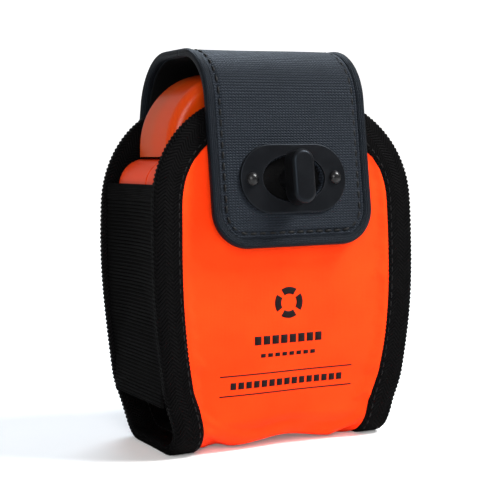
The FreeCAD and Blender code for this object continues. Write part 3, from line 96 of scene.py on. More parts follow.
# ---------------- sizes, in millimetres
PANEL_LOW = corners("front_panel")[0]
TAPE_LOW, TAPE_HIGH = corners("left_binding")
FLAP_LOW, FLAP_HIGH = corners("flap_tongue_trim")
CROWN_HIGH = corners("flap_crown")[1]
LOOP_LOW, LOOP_HIGH = corners("belt_loop")
GUSSET_BOTTOM, GUSSET_TOP = (corner[2] for corner in corners("left_gusset"))
CASE_HALF = max(corners(name)[1][0] for name in ("front_case", "rear_case", "case_seal"))
ANCHOR_LOW, ANCHOR_HIGH = corners("flap_anchor")

CLOTH = 2.0
TAPE = PANEL_LOW[2] - TAPE_LOW[2]
TAPE_WIDTH = 8.8
MOUTH = TAPE_HIGH[2]
BACK_FACE = TAPE_HIGH[1] - TAPE
BELLY_FACE = PANEL_LOW[1]
BELLY_LEVEL = 50.0
MOUTH_FACE = BELLY_FACE + 3.2
FOLD = 9.4
ARCH = 32.0
ARCH_LEVEL = MOUTH - ARCH
SHOULDER = 9.5
SIDE_LEVELS = (5.0, 30.0, ARCH_LEVEL)
SIDE_HALVES = (36.4, 40.2, SHOULDER + ARCH)
FOOT = 34.9
FOOT_OUTER, FOOT_INNER = 9, 7

FLAP_CLOTH = 1.9
FLAP_INNER_TOP = CROWN_HIGH[2] - FLAP_CLOTH
FLAP_REAR = CROWN_HIGH[1] - FLAP_CLOTH
FLAP_REAR_RADIUS = 13.0
FLAP_FRONT_RADIUS = 14.5
FLAP_FRONT_CENTRE = -3.5
FLAP_LEAN = 7.0
FLAP_TIP = FLAP_LOW[2]
FLAP_HALF = FLAP_HIGH[0]
ROOT_HALF = ANCHOR_HIGH[0] + 2.0
FLAP_CORNER = 10.5
ROOT_GAP = 0.15
ROOT_LEVEL, ROOT_RISE = 82.0, 7.0
ROOT_HINGE_LEVEL = 83.5
ROOT_HINGE_RUN, CREASE_HINGE_RUN = 12, 17
CREASE_DEPTH = -1.0
EYE_HALF_WIDTH, EYE_HALF_HEIGHT = 9.6, 6.5
TRIM = 2.7
SEAM = 4.1
SEAM_GROOVE, SEAM_SOFTNESS = 0.42, 0.55
FLAP_STITCH = {"pitch": 3.0, "length": 2.3, "thick": 0.36}

ELASTIC_INSET, ELASTIC_THICK, ELASTIC_LEAST = 1.2, 1.3, 0.75
ELASTIC_RIB, ELASTIC_PITCH = 0.16, 1.05
ELASTIC_HEM, ELASTIC_HEM_EASE, ELASTIC_HEM_SWELL = 4.6, 4.2, 0.35
ELASTIC_DRAW_IN, ELASTIC_SLACK = 1.9, 0.25
CASE_GAP = 0.12

PANEL_INSET = 3.5
PANEL_START = 2.0
BASE_CLEARANCE, BASE_WAVE, BASE_HALF = 2.7, 0.55, 29
DRAPE_ROWS, DRAPE_COLUMNS = 110, 64
DRAPE_SCALE = 0.02
DRAPE_FRAMES = 26
DRAPE_LIMITS = (-0.8, 1.5)
DRAPE_SEWN_SHARE, DRAPE_SEWN_ENDS = 0.84, 4

BINDING_PROFILE_POINTS = 44
BINDING_SEAM = 1.5
BINDING_STITCH = {"pitch": 2.6, "length": 1.9, "thick": 0.2}
WEBBING = 1.8
TACK_STITCH = {"pitch": 1.7, "length": 1.35, "thick": 0.24}
STITCH_RINGS, STITCH_SIDES = 7, 8
STITCH_JITTER, STITCH_SINK, STITCH_SAG = 0.12, 0.1, 0.22
PRINT_PROUD, PRINT_SUNK = 0.09, -0.25


# ---------------- curved sections
def arc(centre, radius, first, last, count=40):
    """Points of an arc in the YZ plane; degrees from +Y towards +Z."""
    angle = np.radians(np.linspace(first, last, count))
    return np.stack([centre[0] + radius * np.cos(angle), centre[1] + radius * np.sin(angle)], 1)


class Section:
    """A line in the YZ plane that is swept along X. Its normal is on the right of its travel."""

    def __init__(self, *runs):
        points = np.concatenate(runs)
        keep = np.concatenate(([True], np.linalg.norm(np.diff(points, axis=0), axis=1) > 1e-3))
        points = points[keep]
        reach = reach_along(points)
        self.reach = np.arange(0, reach[-1], 0.25)
        self.length = self.reach[-1]
        self.line = np.stack([np.interp(self.reach, reach, points[:, i]) for i in (0, 1)], 1)
        tangent = np.gradient(self.line, self.reach, axis=0)
        tangent /= np.linalg.norm(tangent, axis=1)[:, None]
        self.normal = np.stack([tangent[:, 1], -tangent[:, 0]], 1)

    def level(self, s):
        return np.interp(s, self.reach, self.line[:, 1])

    def depth(self, s):
        return np.interp(s, self.reach, self.line[:, 0])

    def place(self, x, s, height):
        """Points at x, s along the section and height outside it."""
        x, s, height = np.broadcast_arrays(x, s, height)
        y = self.depth(s) + height * np.interp(s, self.reach, self.normal[:, 0])
        z = self.level(s) + height * np.interp(s, self.reach, self.normal[:, 1])
        return np.stack([x, y, z], -1)

    def where(self, test):
        """Distance along the section of the first point that passes the test."""
        return self.reach[np.argmax([bool(test(y, z)) for y, z in self.line])]


def wall_section():
    """The pouch's wall: down the front, under the base and up the back."""
    rise, bow = MOUTH - BELLY_LEVEL, MOUTH_FACE - BELLY_FACE
    radius = (rise ** 2 + bow ** 2) / (2 * bow)
    centre = (BELLY_FACE + radius, BELLY_LEVEL)
    level = PANEL_LOW[2] + FOLD
    top = 180 - math.degrees(math.asin(rise / radius))
    low = 180 + math.degrees(math.asin((BELLY_LEVEL - level) / (radius - FOLD)))
    fold_y = centre[0] - math.sqrt((radius - FOLD) ** 2 - (BELLY_LEVEL - level) ** 2)
    front = arc(centre, radius, top, low, 80)
    front_fold = arc((fold_y, level), FOLD, low, 270)
    back_fold = arc((BACK_FACE - FOLD, level), FOLD, 270, 360)
    return Section(front, front_fold, back_fold, np.array([[BACK_FACE, MOUTH]]))


def flap_section():
    """The flap's inner face: up from its sewn root, over the top and down the front."""
    rear = (FLAP_REAR - FLAP_REAR_RADIUS, FLAP_INNER_TOP - FLAP_REAR_RADIUS)
    front = (FLAP_FRONT_CENTRE, FLAP_INNER_TOP - FLAP_FRONT_RADIUS)
    turn = arc(front, FLAP_FRONT_RADIUS, 90, 180 - FLAP_LEAN)
    drop = turn[-1][1] - FLAP_TIP
    tip = np.array([[turn[-1][0] - drop * math.tan(math.radians(FLAP_LEAN)), FLAP_TIP]])
    near = BACK_FACE + ROOT_GAP
    share = np.linspace(0, 1, 12)
    ease = share * share * (3 - 2 * share)
    lift = np.stack([near + ease * (FLAP_REAR - near), ROOT_LEVEL + share * ROOT_RISE], 1)
    root = np.array([[near, ANCHOR_LOW[2]]])
    return Section(root, lift, arc(rear, FLAP_REAR_RADIUS, 0, 90), turn, tip)


WALL, FLAP = wall_section(), flap_section()
BASE_START = WALL.where(lambda y, z: z < PANEL_LOW[2] + FOLD)
WALL_FRONT = WALL.reach[WALL.reach < BASE_START]
BASE_END = WALL.where(lambda y, z: y > BACK_FACE - 0.02)
CREASE = FLAP.where(lambda y, z: y < CREASE_DEPTH)
TIP = FLAP.length


def side_half(z):
    """Half width of the pouch at a height."""
    z = np.asarray(z, float)
    fit = np.polyfit(SIDE_LEVELS, SIDE_HALVES, 2)
    low = np.polyval(fit, np.clip(z, SIDE_LEVELS[0], ARCH_LEVEL))
    high = SHOULDER + np.sqrt(np.clip(ARCH ** 2 - np.clip(z - ARCH_LEVEL, 0, ARCH) ** 2, 0, None))
    return np.where(z > ARCH_LEVEL, high, low)


def wall_half(s):
    """Half width of the pouch along its wall; the base is drawn in between its corners."""
    base = smooth_step(BASE_START - FOOT_OUTER, BASE_START + FOOT_INNER, s)
    base = base * (1 - smooth_step(BASE_END - FOOT_INNER, BASE_END + FOOT_OUTER, s))
    return side_half(WALL.level(s)) * (1 - base) + FOOT * base


def flap_half(s):
    """Half width of the flap, without its rounded tip."""
    return ROOT_HALF + (FLAP_HALF - ROOT_HALF) * smooth_step(0, CREASE * 0.8, s)


# ---------------- meshes
def make_mesh(name, vertices, faces, coords=None, slots=None):
    """A mesh object from millimetre vertices. coords are the cloth's own coordinates for its weave."""
    mesh = bpy.data.meshes.new(name)
    mesh.from_pydata((np.asarray(vertices) * MM).tolist(), [], [tuple(f) for f in faces])
    if coords is not None:
        attribute = mesh.attributes.new("cloth", "FLOAT_VECTOR", "POINT")
        attribute.data.foreach_set("vector", np.asarray(coords, np.float32).ravel())
    if slots is not None:
        mesh.polygons.foreach_set("material_index", slots)
    work = bmesh.new()
    work.from_mesh(mesh)
    bmesh.ops.recalc_face_normals(work, faces=work.faces)
    work.to_mesh(mesh)
    work.free()
    mesh.polygons.foreach_set("use_smooth", [True] * len(mesh.polygons))
    mesh.update()
    return add_object(name, mesh)


def grid_faces(rows, columns, start=0, wrap=False, flip=False):
    faces = []
    for i in range(rows - 1):
        for j in range(columns if wrap else columns - 1):
            k = (j + 1) % columns
            face = (i * columns + j, i * columns + k, (i + 1) * columns + k, (i + 1) * columns + j)
            faces.append(tuple(start + f for f in (reversed(face) if flip else face)))
    return faces


def closed_faces(rows, columns, flip=False):
    """Faces of two facing grids and of the rim that joins them."""
    count = rows * columns
    rim = list(range(columns)) + [r * columns + columns - 1 for r in range(1, rows)]
    rim += [(rows - 1) * columns + c for c in range(columns - 2, -1, -1)]
    rim += [r * columns for r in range(rows - 2, 0, -1)]
    faces = grid_faces(rows, columns, flip=flip) + grid_faces(rows, columns, count, flip=not flip)
    for a, b in zip(rim, rim[1:] + rim[:1]):
        faces.append((a, b, b + count, a + count) if flip else (b, a, a + count, b + count))
    return faces


def shell(name, outer, inner, coords, inner_slot=1, marked=None):
    """A closed sheet between two grids. Its inner side and its marked faces take another material slot."""
    rows, columns = outer.shape[:2]
    faces = closed_faces(rows, columns)
    side = (rows - 1) * (columns - 1)
    slots = [0] * side + [inner_slot] * side + [0] * (len(faces) - 2 * side)
    if marked is not None:
        for i in range(rows - 1):
            for j in range(columns - 1):
                if marked[i, j]:
                    slots[i * (columns - 1) + j] = inner_slot
    vertices = np.concatenate([outer.reshape(-1, 3), inner.reshape(-1, 3)])
    both = np.concatenate([coords.reshape(-1, 3)] * 2)
    return make_mesh(name, vertices, faces, both, slots)


def tubes(name, runs):
    """One mesh of closed tubes. Each run is (rings of points, cloth coordinates)."""
    vertices, coords, faces, start = [], [], [], 0
    for rings, cloth in runs:
        rows, columns = rings.shape[:2]
        vertices.append(rings.reshape(-1, 3))
        coords.append(cloth.reshape(-1, 3))
        faces += grid_faces(rows, columns, start, wrap=True)
        faces.append(tuple(start + i for i in reversed(range(columns))))
        faces.append(tuple(start + (rows - 1) * columns + i for i in range(columns)))
        start += rows * columns
    return make_mesh(name, np.concatenate(vertices), faces, np.concatenate(coords))


def resample(line, step):
    """A line's points at an even step, and the distance travelled at each."""
    line = np.asarray(line, float)
    reach = reach_along(line)
    s = np.linspace(0, reach[-1], max(2, int(round(reach[-1] / step)) + 1))
    return np.stack([np.interp(s, reach, line[:, i]) for i in range(line.shape[1])], 1), s


def ease_corners(line, width):
    """Softens a line by a moving average, keeping its ends."""
    kernel = np.ones(width) / width
    pad = width // 2
    ends = np.concatenate([np.repeat(line[:1], pad, 0), line, np.repeat(line[-1:], pad, 0)])
    soft = np.stack([np.convolve(ends[:, i], kernel, "valid") for i in range(line.shape[1])], 1)
    soft[0], soft[-1] = line[0], line[-1]
    return soft


def inward(edge):
    """Unit vectors across the edge, to the side where its cloth lies."""
    tangent = np.gradient(edge, axis=0)
    tangent /= np.linalg.norm(tangent, axis=1)[:, None]
    return np.stack([tangent[:, 1], -tangent[:, 0]], 1)


def sweep(section, edge, profile, ribs):
    """A profile of (distance in from the edge, height) carried along an edge that lies in the section."""
    across = inward(edge)
    reach = reach_along(edge)
    ring = np.concatenate([profile[-1:], profile, profile[:1]])
    tangent = ring[2:] - ring[:-2]
    tangent /= np.linalg.norm(tangent, axis=1)[:, None]
    outward = np.stack([tangent[:, 1], -tangent[:, 0]], 1)
    girth = reach_along(profile)
    along, around = np.meshgrid(reach, girth, indexing="ij")
    push = ribs(along, profile[None, :, 0])
    a = profile[None, :, 0] + push * outward[None, :, 0]
    b = profile[None, :, 1] + push * outward[None, :, 1]
    x = edge[:, 0, None] + a * across[:, 0, None]
    s = edge[:, 1, None] + a * across[:, 1, None]
    return section.place(x, s, b), np.stack([along, around, along * 0], -1)


def rounded(x0, x1, y0, y1, count=28, power=3.2):
    """A closed loop of points round a box with soft corners."""
    angle = full_turn(count)
    c, s = np.cos(angle), np.sin(angle)
    reach = (np.abs(c) ** power + np.abs(s) ** power) ** (-1 / power)
    x = (x0 + x1) / 2 + (x1 - x0) / 2 * c * reach
    y = (y0 + y1) / 2 + (y1 - y0) / 2 * s * reach
    return np.stack([x, y], 1)


def join_pieces(name, pieces):
    """Several point-and-face lists as one mesh."""
    vertices, faces, start = [], [], 0
    for points, quads in pieces:
        vertices.append(points)
        faces += [tuple(start + i for i in face) for face in quads]
        start += len(points)
    vertices = np.concatenate(vertices)
    return make_mesh(name, vertices, faces, coords=vertices)


def stitches(name, place, line, height, pitch=2.8, length=2.0, thick=0.27):
    """Separate thread loops along a line of (x, s); place turns x, s and height into points."""
    line, _ = resample(line, 0.2)
    reach = reach_along(line)
    count = int((reach[-1] - length) / pitch)
    margin = (reach[-1] - count * pitch) / 2
    pieces = []
    rings, sides = STITCH_RINGS, STITCH_SIDES
    for i in range(count):
        start = margin + i * pitch + (pitch - length) / 2 + chance.uniform(-STITCH_JITTER, STITCH_JITTER)
        s = start + np.linspace(0, length, rings)
        x0, s0 = np.interp(s, reach, line[:, 0]), np.interp(s, reach, line[:, 1])
        step = np.array([x0[-1] - x0[0], s0[-1] - s0[0]])
        step /= np.linalg.norm(step)
        share = np.linspace(-1, 1, rings)
        girth = thick * np.sqrt(np.clip(1 - share ** 4, 0.06, 1))
        rise = height - STITCH_SINK - STITCH_SAG * share ** 2
        angle = full_turn(sides)
        side = girth[:, None] * np.cos(angle)[None]
        lift = rise[:, None] + girth[:, None] * np.sin(angle)[None]
        points = place(x0[:, None] - side * step[1], s0[:, None] + side * step[0], lift).reshape(-1, 3)
        faces = grid_faces(rings, sides, wrap=True)
        faces += [tuple(reversed(range(sides))), tuple((rings - 1) * sides + j for j in range(sides))]
        pieces.append((points, faces))
    return join_pieces(name, pieces)


# ---------------- materials
class Shader:
    """A node material under construction."""

    def __init__(self, name):
        self.material = bpy.data.materials.new(name)
        self.material.use_nodes = True
        self.tree = self.material.node_tree
        self.skin = self.tree.nodes["Principled BSDF"]

    def node(self, kind, inputs=None, **settings):
        """A new node. Its inputs take either another node's socket or a plain value."""
        made = self.tree.nodes.new("ShaderNode" + kind)
        for key, setting in settings.items():
            setattr(made, key, setting)
        for key, source in (inputs or {}).items():
            if isinstance(source, bpy.types.NodeSocket):
                self.tree.links.new(source, made.inputs[key])
            else:
                made.inputs[key].default_value = source
        return made

    def link(self, key, socket):
        self.tree.links.new(socket, self.skin.inputs[key])

    def set(self, **inputs):
        for key, setting in inputs.items():
            self.skin.inputs[key.replace("_", " ")].default_value = setting

    def math(self, operation, a, b=0.0):
        return self.node("Math", {0: a, 1: b}, operation=operation).outputs[0]

    def times(self, a, b):
        return self.math("MULTIPLY", a, b)

    def plus(self, a, b):
        return self.math("ADD", a, b)

    def size_of(self, a):
        return self.math("ABSOLUTE", a)

    def split(self, vector):
        return self.node("SeparateXYZ", {"Vector": vector}).outputs

    def sine(self, a):
        return self.math("SINE", a)

    def coords(self, cloth=True):
        """Cloth coordinates in millimetres, or the object's own, also in millimetres."""
        if cloth:
            return self.node("Attribute", attribute_name="cloth").outputs["Vector"]
        place = self.node("TexCoord").outputs["Object"]
        return self.node("VectorMath", {0: place, "Scale": 1 / MM}, operation="SCALE").outputs[0]

    def noise(self, vector, scale, detail=3.0, roughness=0.5):
        inputs = {"Vector": vector, "Scale": scale, "Detail": detail, "Roughness": roughness}
        return self.node("TexNoise", inputs).outputs["Fac"]

    def ramp(self, factor, stops):
        made = self.node("ValToRGB", {"Fac": factor})
        elements = made.color_ramp.elements
        while len(elements) < len(stops):
            elements.new(0.5)
        for element, (place, colour) in zip(elements, stops):
            element.position = place
            element.color = (*colour, 1)
        return made.outputs["Color"]

    def blend(self, factor, a, b):
        """A colour between a and b. Each is a socket or three numbers."""
        colours = [c if isinstance(c, bpy.types.NodeSocket) else (*c, 1) for c in (a, b)]
        return self.node("Mix", {0: factor, 6: colours[0], 7: colours[1]}, data_type="RGBA").outputs[2]

    def bump(self, height, strength, distance):
        made = self.node("Bump", {"Height": height, "Strength": strength, "Distance": distance})
        self.link("Normal", made.outputs["Normal"])

    def rim_highlight_share(self, painted_rim):
        """How much of the painted rim highlight an edge takes: bevelled normals against true ones."""
        limit = 0.06
        geometry = self.node("NewGeometry")
        soft = self.node("Bevel", {"Radius": painted_rim}, samples=6)
        normals = {0: soft.outputs[0], 1: geometry.outputs["Normal"]}
        same = self.node("VectorMath", normals, operation="DOT_PRODUCT")
        away = self.math("SUBTRACT", 1.0, same.outputs["Value"])
        return self.math("MINIMUM", self.math("DIVIDE", away, limit), 1.0)


def thread_pattern(shader, vector, pitch_x, pitch_y, stagger=True):
    """Height of an over-and-under weave, from 0 to 1."""
    x, y, _ = shader.split(vector)
    row = shader.math("FLOOR", shader.math("DIVIDE", y, pitch_y))
    shift = shader.times(shader.math("MODULO", row, 2.0), pitch_x / 2 if stagger else 0.0)
    wave_x = shader.sine(shader.times(shader.plus(x, shift), math.pi / pitch_x))
    wave_y = shader.sine(shader.times(y, math.pi / pitch_y))
    bulge = shader.times(shader.size_of(wave_x), shader.size_of(wave_y))
    return shader.math("POWER", bulge, 0.6)


def zigzag(shader, vector, pitch_x, pitch_y):
    """Height of fine rows that run across in a zig-zag, as on coated pack cloth."""
    depth = 0.55
    x, y, _ = shader.split(vector)
    swing = shader.math("PINGPONG", x, pitch_x)
    shift = shader.times(swing, depth)
    phase = shader.times(shader.plus(y, shift), math.pi / pitch_y)
    row = shader.math("POWER", shader.size_of(shader.sine(phase)), 0.8)
    step = shader.times(x, math.pi / pitch_x)
    cross = shader.size_of(shader.sine(step))
    return shader.times(row, shader.plus(shader.times(cross, 0.35), 0.65))


def herringbone(shader, vector, pitch, stripe):
    """Height of diagonal ribs that turn back at every stripe."""
    x, y, _ = shader.split(vector)
    swing = shader.math("PINGPONG", y, stripe)
    phase = shader.times(shader.plus(x, swing), math.pi / pitch)
    rib = shader.math("POWER", shader.size_of(shader.sine(phase)), 0.7)
    fine = shader.size_of(shader.sine(shader.times(y, math.pi / 0.45)))
    return shader.times(rib, shader.plus(shader.times(fine, 0.3), 0.7))


def cloth_material(name, dark, light, pitch, depth, roughness, sheen, reflection_tint=(1, 1, 1), shine=0.12,
                   pattern=thread_pattern):
    """Woven cloth: threads in relief, lighter on their crowns, with slow variation in shade."""
    shader = Shader(name)
    vector = shader.coords()
    weave = pattern(shader, vector, *pitch)
    patch = shader.noise(vector, 0.12, 4)
    fibre = shader.noise(vector, 3.2, 3)
    crown = shader.times(weave, shader.plus(shader.times(patch, 0.7), 0.6))
    colour = shader.ramp(crown, [(0.15, dark), (0.95, light)])
    shader.link("Base Color", colour)
    shader.link("Roughness", shader.plus(shader.times(fibre, 0.2), roughness - 0.1))
    height = shader.plus(weave, shader.times(fibre, 0.25))
    shader.bump(height, 0.9, depth * MM)
    # The tint colours the sheen and the reflections; the bluish one is a painted reflection colour standing
    # in for sky light.
    shader.set(Sheen_Weight=sheen, Sheen_Roughness=0.45, Sheen_Tint=(*reflection_tint, 1))
    shader.set(Specular_IOR_Level=shine, Specular_Tint=(*reflection_tint, 1))
    return shader.material


def orange_cloth():
    """Coated orange cloth: nearly smooth, with a fine grain and soft blotches."""
    shader = Shader("orange_cloth")
    vector = shader.coords()
    weave = thread_pattern(shader, vector, 0.42, 0.42, False)
    patch = shader.noise(vector, 0.06, 3)
    grain = shader.noise(vector, 1.7, 4)
    factor = shader.plus(shader.times(patch, 0.8), shader.times(grain, 0.2))
    colour = shader.ramp(factor, [(0.3, (0.9, 0.034, 0.0015)), (0.75, (0.97, 0.05, 0.0035))])
    shader.link("Base Color", colour)
    shader.bump(shader.plus(weave, grain), 0.5, 0.05 * MM)
    shader.set(Roughness=0.62, Sheen_Weight=0.03, Sheen_Tint=(1, 0.45, 0.25, 1), Specular_IOR_Level=0.07)
    return shader.material


def plain_material(name, colour, roughness=0.5, grain=0.3, scale=1.2, metallic=0.0, painted_rim=None,
                   coat=0.0, shine=0.5, reflection_tint=(1, 1, 1)):
    """Moulded or metal piece: fine grain, uneven gloss and, where asked, edges painted lighter in another
    colour as a painted rim highlight.
    """
    shader = Shader(name)
    vector = shader.coords(cloth=False)
    fine = shader.noise(vector, scale, 5, 0.6)
    broad = shader.noise(vector, scale * 0.12, 3)
    lighter = tuple(min(1.0, c * 1.25 + 0.004) for c in colour)
    skin = shader.blend(broad, colour, lighter)
    # Here the edges are painted lighter: a painted rim highlight, broken up by fine noise.
    if painted_rim:
        rim_highlight_amount = shader.times(shader.rim_highlight_share(0.35 * MM), shader.plus(fine, 0.15))
        skin = shader.blend(rim_highlight_amount, skin, painted_rim)
    shader.link("Base Color", skin)
    rough = shader.plus(shader.times(broad, 0.16), roughness - 0.08)
    shader.link("Roughness", rough)
    shader.bump(fine, grain, 0.06 * MM)
    # The tint colours the reflections; the bluish one is a painted reflection colour standing in for sky
    # light.
    shader.set(Metallic=metallic, Coat_Weight=coat, Specular_IOR_Level=shine, Specular_Tint=(*reflection_tint, 1))
    return shader.material


def lid_material():
    """Translucent moulded cap, a little darker towards its rear."""
    shader = Shader("rose_clear")
    vector = shader.coords(cloth=False)
    low, high = corners("lid")
    behind = shader.math("SUBTRACT", shader.split(vector)[1], float(low[1]))
    share = shader.math("DIVIDE", behind, float(high[1] - low[1]))
    stops = [(0.25, (0.6, 0.05, 0.002)), (0.42, (0.56, 0.05, 0.002)),
             (0.55, (0.48, 0.058, 0.009)), (0.9, (0.44, 0.045, 0.006))]
    shader.link("Base Color", shader.ramp(share, stops))
    shader.bump(shader.noise(vector, 0.5, 3), 0.12, 0.1 * MM)
    shader.set(Roughness=0.26, Specular_IOR_Level=0.16, Coat_Weight=0.03)
    shader.set(Transmission_Weight=0.08, Subsurface_Weight=0.25, IOR=1.45)
    shader.set(Subsurface_Radius=(0.006, 0.002, 0.001), Subsurface_Scale=1.0)
    return shader.material


def clear_material():
    shader = Shader("clear_lens")
    vector = shader.coords(cloth=False)
    shader.bump(shader.noise(vector, 0.8, 2), 0.08, 0.05 * MM)
    shader.set(Base_Color=(0.98, 0.98, 0.95, 1), Roughness=0.05, Transmission_Weight=0.95, IOR=1.5)
    return shader.material


def board_material():
    """Green circuit board with copper traces."""
    shader = Shader("green_board")
    vector = shader.coords(cloth=False)
    bricks = shader.node("TexBrick", {"Vector": vector, "Scale": 0.35, "Mortar Size": 0.03,
                                      "Color1": (0.01, 0.12, 0.03, 1), "Color2": (0.015, 0.16, 0.05, 1),
                                      "Mortar": (0.1, 0.3, 0.08, 1)})
    shader.link("Base Color", bricks.outputs["Color"])
    shader.bump(bricks.outputs["Fac"], 0.3, 0.05 * MM)
    shader.set(Roughness=0.3, Coat_Weight=0.4)
    return shader.material


# A painted bluish tint on sheen and reflections, standing in for the blue cast of sky light.
SKY_BLUE_REFLECTION = (0.6, 0.78, 1)
CLOTHS = {
    # name: dark, light, the rest
    "charcoal_weave": ((0.0012, 0.0014, 0.0019), (0.0085, 0.0098, 0.0132), dict(
        pitch=(0.52, 0.78), depth=0.2, roughness=0.5, sheen=0.006, reflection_tint=SKY_BLUE_REFLECTION, shine=0.14, pattern=zigzag)),
    "twill_tape": ((0.0004, 0.0004, 0.0005), (0.003, 0.0028, 0.003), dict(
        pitch=(1.15, 2.3), depth=0.3, roughness=0.62, sheen=0.001, shine=0.025, pattern=herringbone)),
    "flap_trim": ((0.0008, 0.0009, 0.0012), (0.005, 0.0057, 0.0076), dict(
        pitch=(0.5, 0.62), depth=0.16, roughness=0.46, sheen=0.005, reflection_tint=SKY_BLUE_REFLECTION, shine=0.11, pattern=zigzag)),
    "ribbed_elastic": ((0.0006, 0.0006, 0.0007), (0.0024, 0.0023, 0.0023), dict(
        pitch=(0.6, 0.5), depth=0.12, roughness=0.75, sheen=0.001, shine=0.025)),
    "black_webbing": ((0.0012, 0.0012, 0.0014), (0.006, 0.006, 0.0065), dict(
        pitch=(1.1, 0.9), depth=0.25, roughness=0.6, sheen=0.01)),
    "black_lining": ((0.0008, 0.0008, 0.001), (0.002, 0.002, 0.0022), dict(
        pitch=(0.4, 0.4), depth=0.05, roughness=0.7, sheen=0.004, shine=0.06)),
}
PLAINS = {
    # name: colour, the rest
    "black_thread": ((0.0009, 0.0009, 0.0011), dict(grain=0.6, scale=5.0, shine=0.15)),
    "black_print": ((0.006, 0.0022, 0.0025), dict(roughness=0.6, grain=0.2, scale=3.0, shine=0.08)),
    # black_metal and rivet_metal take a lighter edge colour: a painted rim highlight.
    "black_metal": ((0.0018, 0.0018, 0.0022), dict(
        roughness=0.34, grain=0.35, scale=1.6, painted_rim=(0.02, 0.021, 0.024), shine=0.12, reflection_tint=SKY_BLUE_REFLECTION)),
    "rivet_metal": ((0.0025, 0.0025, 0.003), dict(
        roughness=0.26, scale=2.0, painted_rim=(0.03, 0.03, 0.033), shine=0.24)),
    "bright_steel": ((0.42, 0.42, 0.4), dict(roughness=0.3, scale=2.5, metallic=1.0)),
    "orange_shell": ((0.62, 0.04, 0.003), dict(
        roughness=0.36, grain=0.15, scale=0.8, coat=0.03, shine=0.22)),
    "lamp_yellow": ((0.9, 0.7, 0.12), dict(roughness=0.35, grain=0.2)),
    "black_rubber": ((0.006, 0.006, 0.006), dict(roughness=0.75, grain=0.4, shine=0.2)),
    "black_plastic": ((0.015, 0.015, 0.016), dict(grain=0.5)),
    "ceramic": ((0.55, 0.42, 0.25), dict(roughness=0.6, grain=0.5)),
    "tin_plate": ((0.5, 0.5, 0.48), dict(roughness=0.32, grain=0.2, scale=1.0, metallic=1.0)),
    "cell_sleeve": ((0.02, 0.06, 0.2), dict(roughness=0.35, grain=0.2)),
    "red_button": ((0.6, 0.01, 0.008), dict(roughness=0.35, grain=0.2)),
    "grey_button": ((0.12, 0.12, 0.125), dict(grain=0.4)),
}


def make_materials():
    """Materials by name. Blender's own names may differ, because the CAD brings materials of its own."""
    made = {"orange_cloth": orange_cloth(), "rose_clear": lid_material(), "clear_lens": clear_material(),
            "green_board": board_material()}
    for name, (dark, light, rest) in CLOTHS.items():
        made[name] = cloth_material(name, dark, light, **rest)
    for name, (colour, rest) in PLAINS.items():
        made[name] = plain_material(name, colour, **rest)
    return made


MATERIAL = make_materials()


def dress(piece, *names, slot=None):
    """Gives a new piece its materials, in the order of its faces' slots."""
    for name in names:
        piece.data.materials.append(MATERIAL[name])
    return piece


def on_pouch(piece, *nodes):
    """Rides a piece on the pouch, in place of CAD nodes where any are named."""
    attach(piece, "pouch")
    if nodes:
        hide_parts(*nodes)


# ---------------- pouch
def panel_grid(first, last, inset, rows, columns, swell):
    """Outer and inner faces of a stretch of the wall. swell(u, s) is how far it stands out."""
    s, u = grid_spans(first, last, rows, columns)
    x = u * (wall_half(s) - inset)
    outer = WALL.place(x, s, swell(u, s))
    inner = WALL.place(x, s, swell(u, s) - CLOTH)
    return outer, inner, stacked(x, s, 0 * x)


def base_lift(x, s):
    """The base hangs clear of the ground between its bindings, in a slack wave."""
    near = smooth_step(BASE_START - 5, BASE_START + 9, s) * (1 - smooth_step(BASE_END - 9, BASE_END + 3, s))
    arch = np.clip(1 - (np.abs(x + 1.5) / BASE_HALF) ** 2.2, 0, None)
    wave = BASE_WAVE * np.sin(x / 5.2 + 0.8) * arch
    return near * (BASE_CLEARANCE * arch + wave)


def add_lift(points, x, s):
    """Raises points, in place, by the base's lift."""
    points[..., 2] += base_lift(x, s)
    return points


def padded_shape(u, s):
    """Padded bulge over the beacon, softer near the base, with a few slack puckers."""
    belly = 1.3 * (1 - u ** 2) ** 0.8 * smooth_step(0, 20, s) * (1 - 0.7 * smooth_step(70, BASE_START, s))
    x = u * 30
    slack = 0.16 * np.sin(x / 4.1 + s / 23) * smooth_step(62, BASE_START, s) * (1 - u ** 2)
    broad = 0.22 * np.sin(x / 9.0 + 1.1) * np.sin(s / 17.0)
    return belly + slack + broad * (1 - u ** 4)


def cloth_settings(piece):
    """Foam-backed cloth, a little too large for its frame and pressed out from behind; simulated enlarged."""
    cloth = piece.modifiers.new("cloth", "CLOTH")
    settings = cloth.settings
    settings.quality = 8
    settings.mass = 0.35
    settings.tension_stiffness = settings.compression_stiffness = 25
    settings.shear_stiffness = 8
    settings.bending_stiffness = 4
    settings.vertex_group_mass = "sewn"
    settings.shrink_min = -0.022
    settings.use_pressure = True
    settings.uniform_pressure_force = 1.6
    settings.effector_weights.gravity = 0.5
    cloth.collision_settings.use_collision = False


